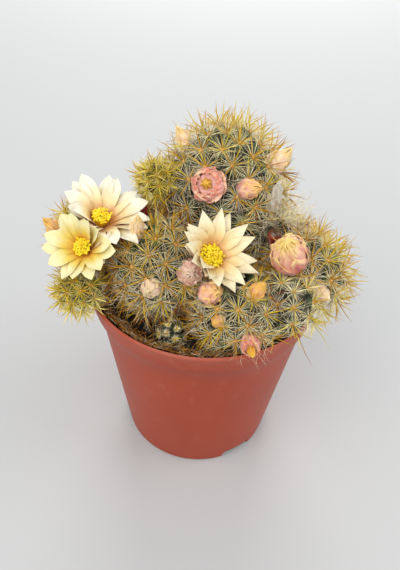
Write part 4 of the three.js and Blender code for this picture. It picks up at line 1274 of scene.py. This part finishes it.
def table():
    """The table: a flat sheet that curves up far behind, as one smooth sweep."""
    run = np.array([(-1500, 0), (0, 0), (900, 0), (1150, 30), (1330, 140), (1440, 330), (1480, 600), (1480, 1600)])
    width = np.linspace(-1800, 1800, 5)
    points = np.stack(np.broadcast_arrays(width[None], run[:, 0, None], run[:, 1, None]), -1).reshape(-1, 3)
    mesh = bpy.data.meshes.new("table")
    mesh.from_pydata((points * MM).tolist(), [], grid_quads(len(run), 5).tolist())
    mesh.polygons.foreach_set("use_smooth", np.ones(len(mesh.polygons), bool))
    mesh.materials.append(floor_finish())
    made = placed("table", mesh)


# ---- camera and light ---------------------------------------------------------------------------------
def camera():
    """The camera looks down on the plant from the front, rolled a little, aimed at the middle of the object."""
    elevation, roll, distance = math.radians(40.06), math.radians(3.40), 154.13
    target = np.array([-1.02, 0.0, 44.85])
    back = np.array([0, -math.cos(elevation), math.sin(elevation)])
    right = np.array([1.0, 0, 0])
    up = np.cross(back, right)
    turned_right = right * math.cos(roll) + up * math.sin(roll)
    turned_up = up * math.cos(roll) - right * math.sin(roll)
    data = bpy.data.cameras.new("camera")
    data.sensor_width, data.lens = 36.0, 40.25
    data.clip_start, data.clip_end = 0.01, 10
    made = placed("camera", data)
    rotation = Matrix([turned_right, turned_up, back]).transposed().to_4x4()
    made.matrix_world = Matrix.Translation(Vector((target + back * distance) * MM)) @ rotation
    bpy.context.scene.camera = made


def area_light(name, place, target, size, power, colour):
    """A square soft light at a place in metres, aimed at a target."""
    data = bpy.data.lights.new(name, "AREA")
    data.size, data.energy, data.color = size, power, colour
    way = Vector(target) - Vector(place)
    turn = way.to_track_quat("-Z", "Y").to_matrix().to_4x4()
    placed(name, data).matrix_world = Matrix.Translation(Vector(place)) @ turn


def lights():
    """A large soft window light in front on the left, one behind that lights the backdrop, a weak one on the right,
    and an even bright room."""
    area_light("window", (-0.24, -0.46, 0.56), (0, 0, 0.04), 0.85, 5.0, (1.0, 0.985, 0.96))
    area_light("back_wall", (0.0, 0.80, 0.38), (0, 0.45, 0.0), 0.5, 5.3, (1.0, 1.0, 1.0))
    area_light("side_wall", (0.62, 0.0, 0.34), (0.14, 0.02, 0.0), 0.5, 1.8, (1.0, 1.0, 1.0))
    world = bpy.data.worlds.new("room")
    world.use_nodes = True
    room_light = world.node_tree.nodes["Background"].inputs
    room_light["Color"].default_value = (0.93, 0.95, 1.0, 1)
    room_light["Strength"].default_value = 0.69
    bpy.context.scene.world = world
    bpy.context.scene.view_settings.view_transform = "Standard"


# ---- assembly -----------------------------------------------------------------------------------------
camera()
lights()
table()
pot_body()
soil_body()
soil_crumbs()
for stem_name, stem_sizes in STEMS.items():
    stem_body(stem_name, stem_sizes)
    areole_pads(stem_name, stem_sizes)
    stem_spines(stem_name, stem_sizes)
    stem_wool(stem_name, stem_sizes)
soil_fibres()
open_flower("flower_centre", "cream_petal", "outer_petal")
open_flower("flower_left_front", "warm_petal", "outer_petal")
open_flower("flower_left_back", "pale_petal", "red_petal")
closed_flower("flower_half_open", "crested_petal", "crest_petal", 0.04, 0.4, 1.1, (0.66, 0.5, 0.32))
closed_flower("flower_folded", "folded_petal", "heart_petal", 0.2)
closed_flower("flower_faded", "folded_petal", "heart_petal", 0.34, crest=1.03, girths=(0.42, 0.3, 0.2))
dried_flower()
for bud_name, bud_sizes in BUDS.items():
    bud(bud_name, bud_sizes)
strand_piece("foot_wool", [foot_wool(n, b) for n, b in (*CLOSED_FLOWERS.items(), *BUDS.items())])
for fruit_name, fruit_sizes in FRUITS.items():
    berry(fruit_name, fruit_sizes)
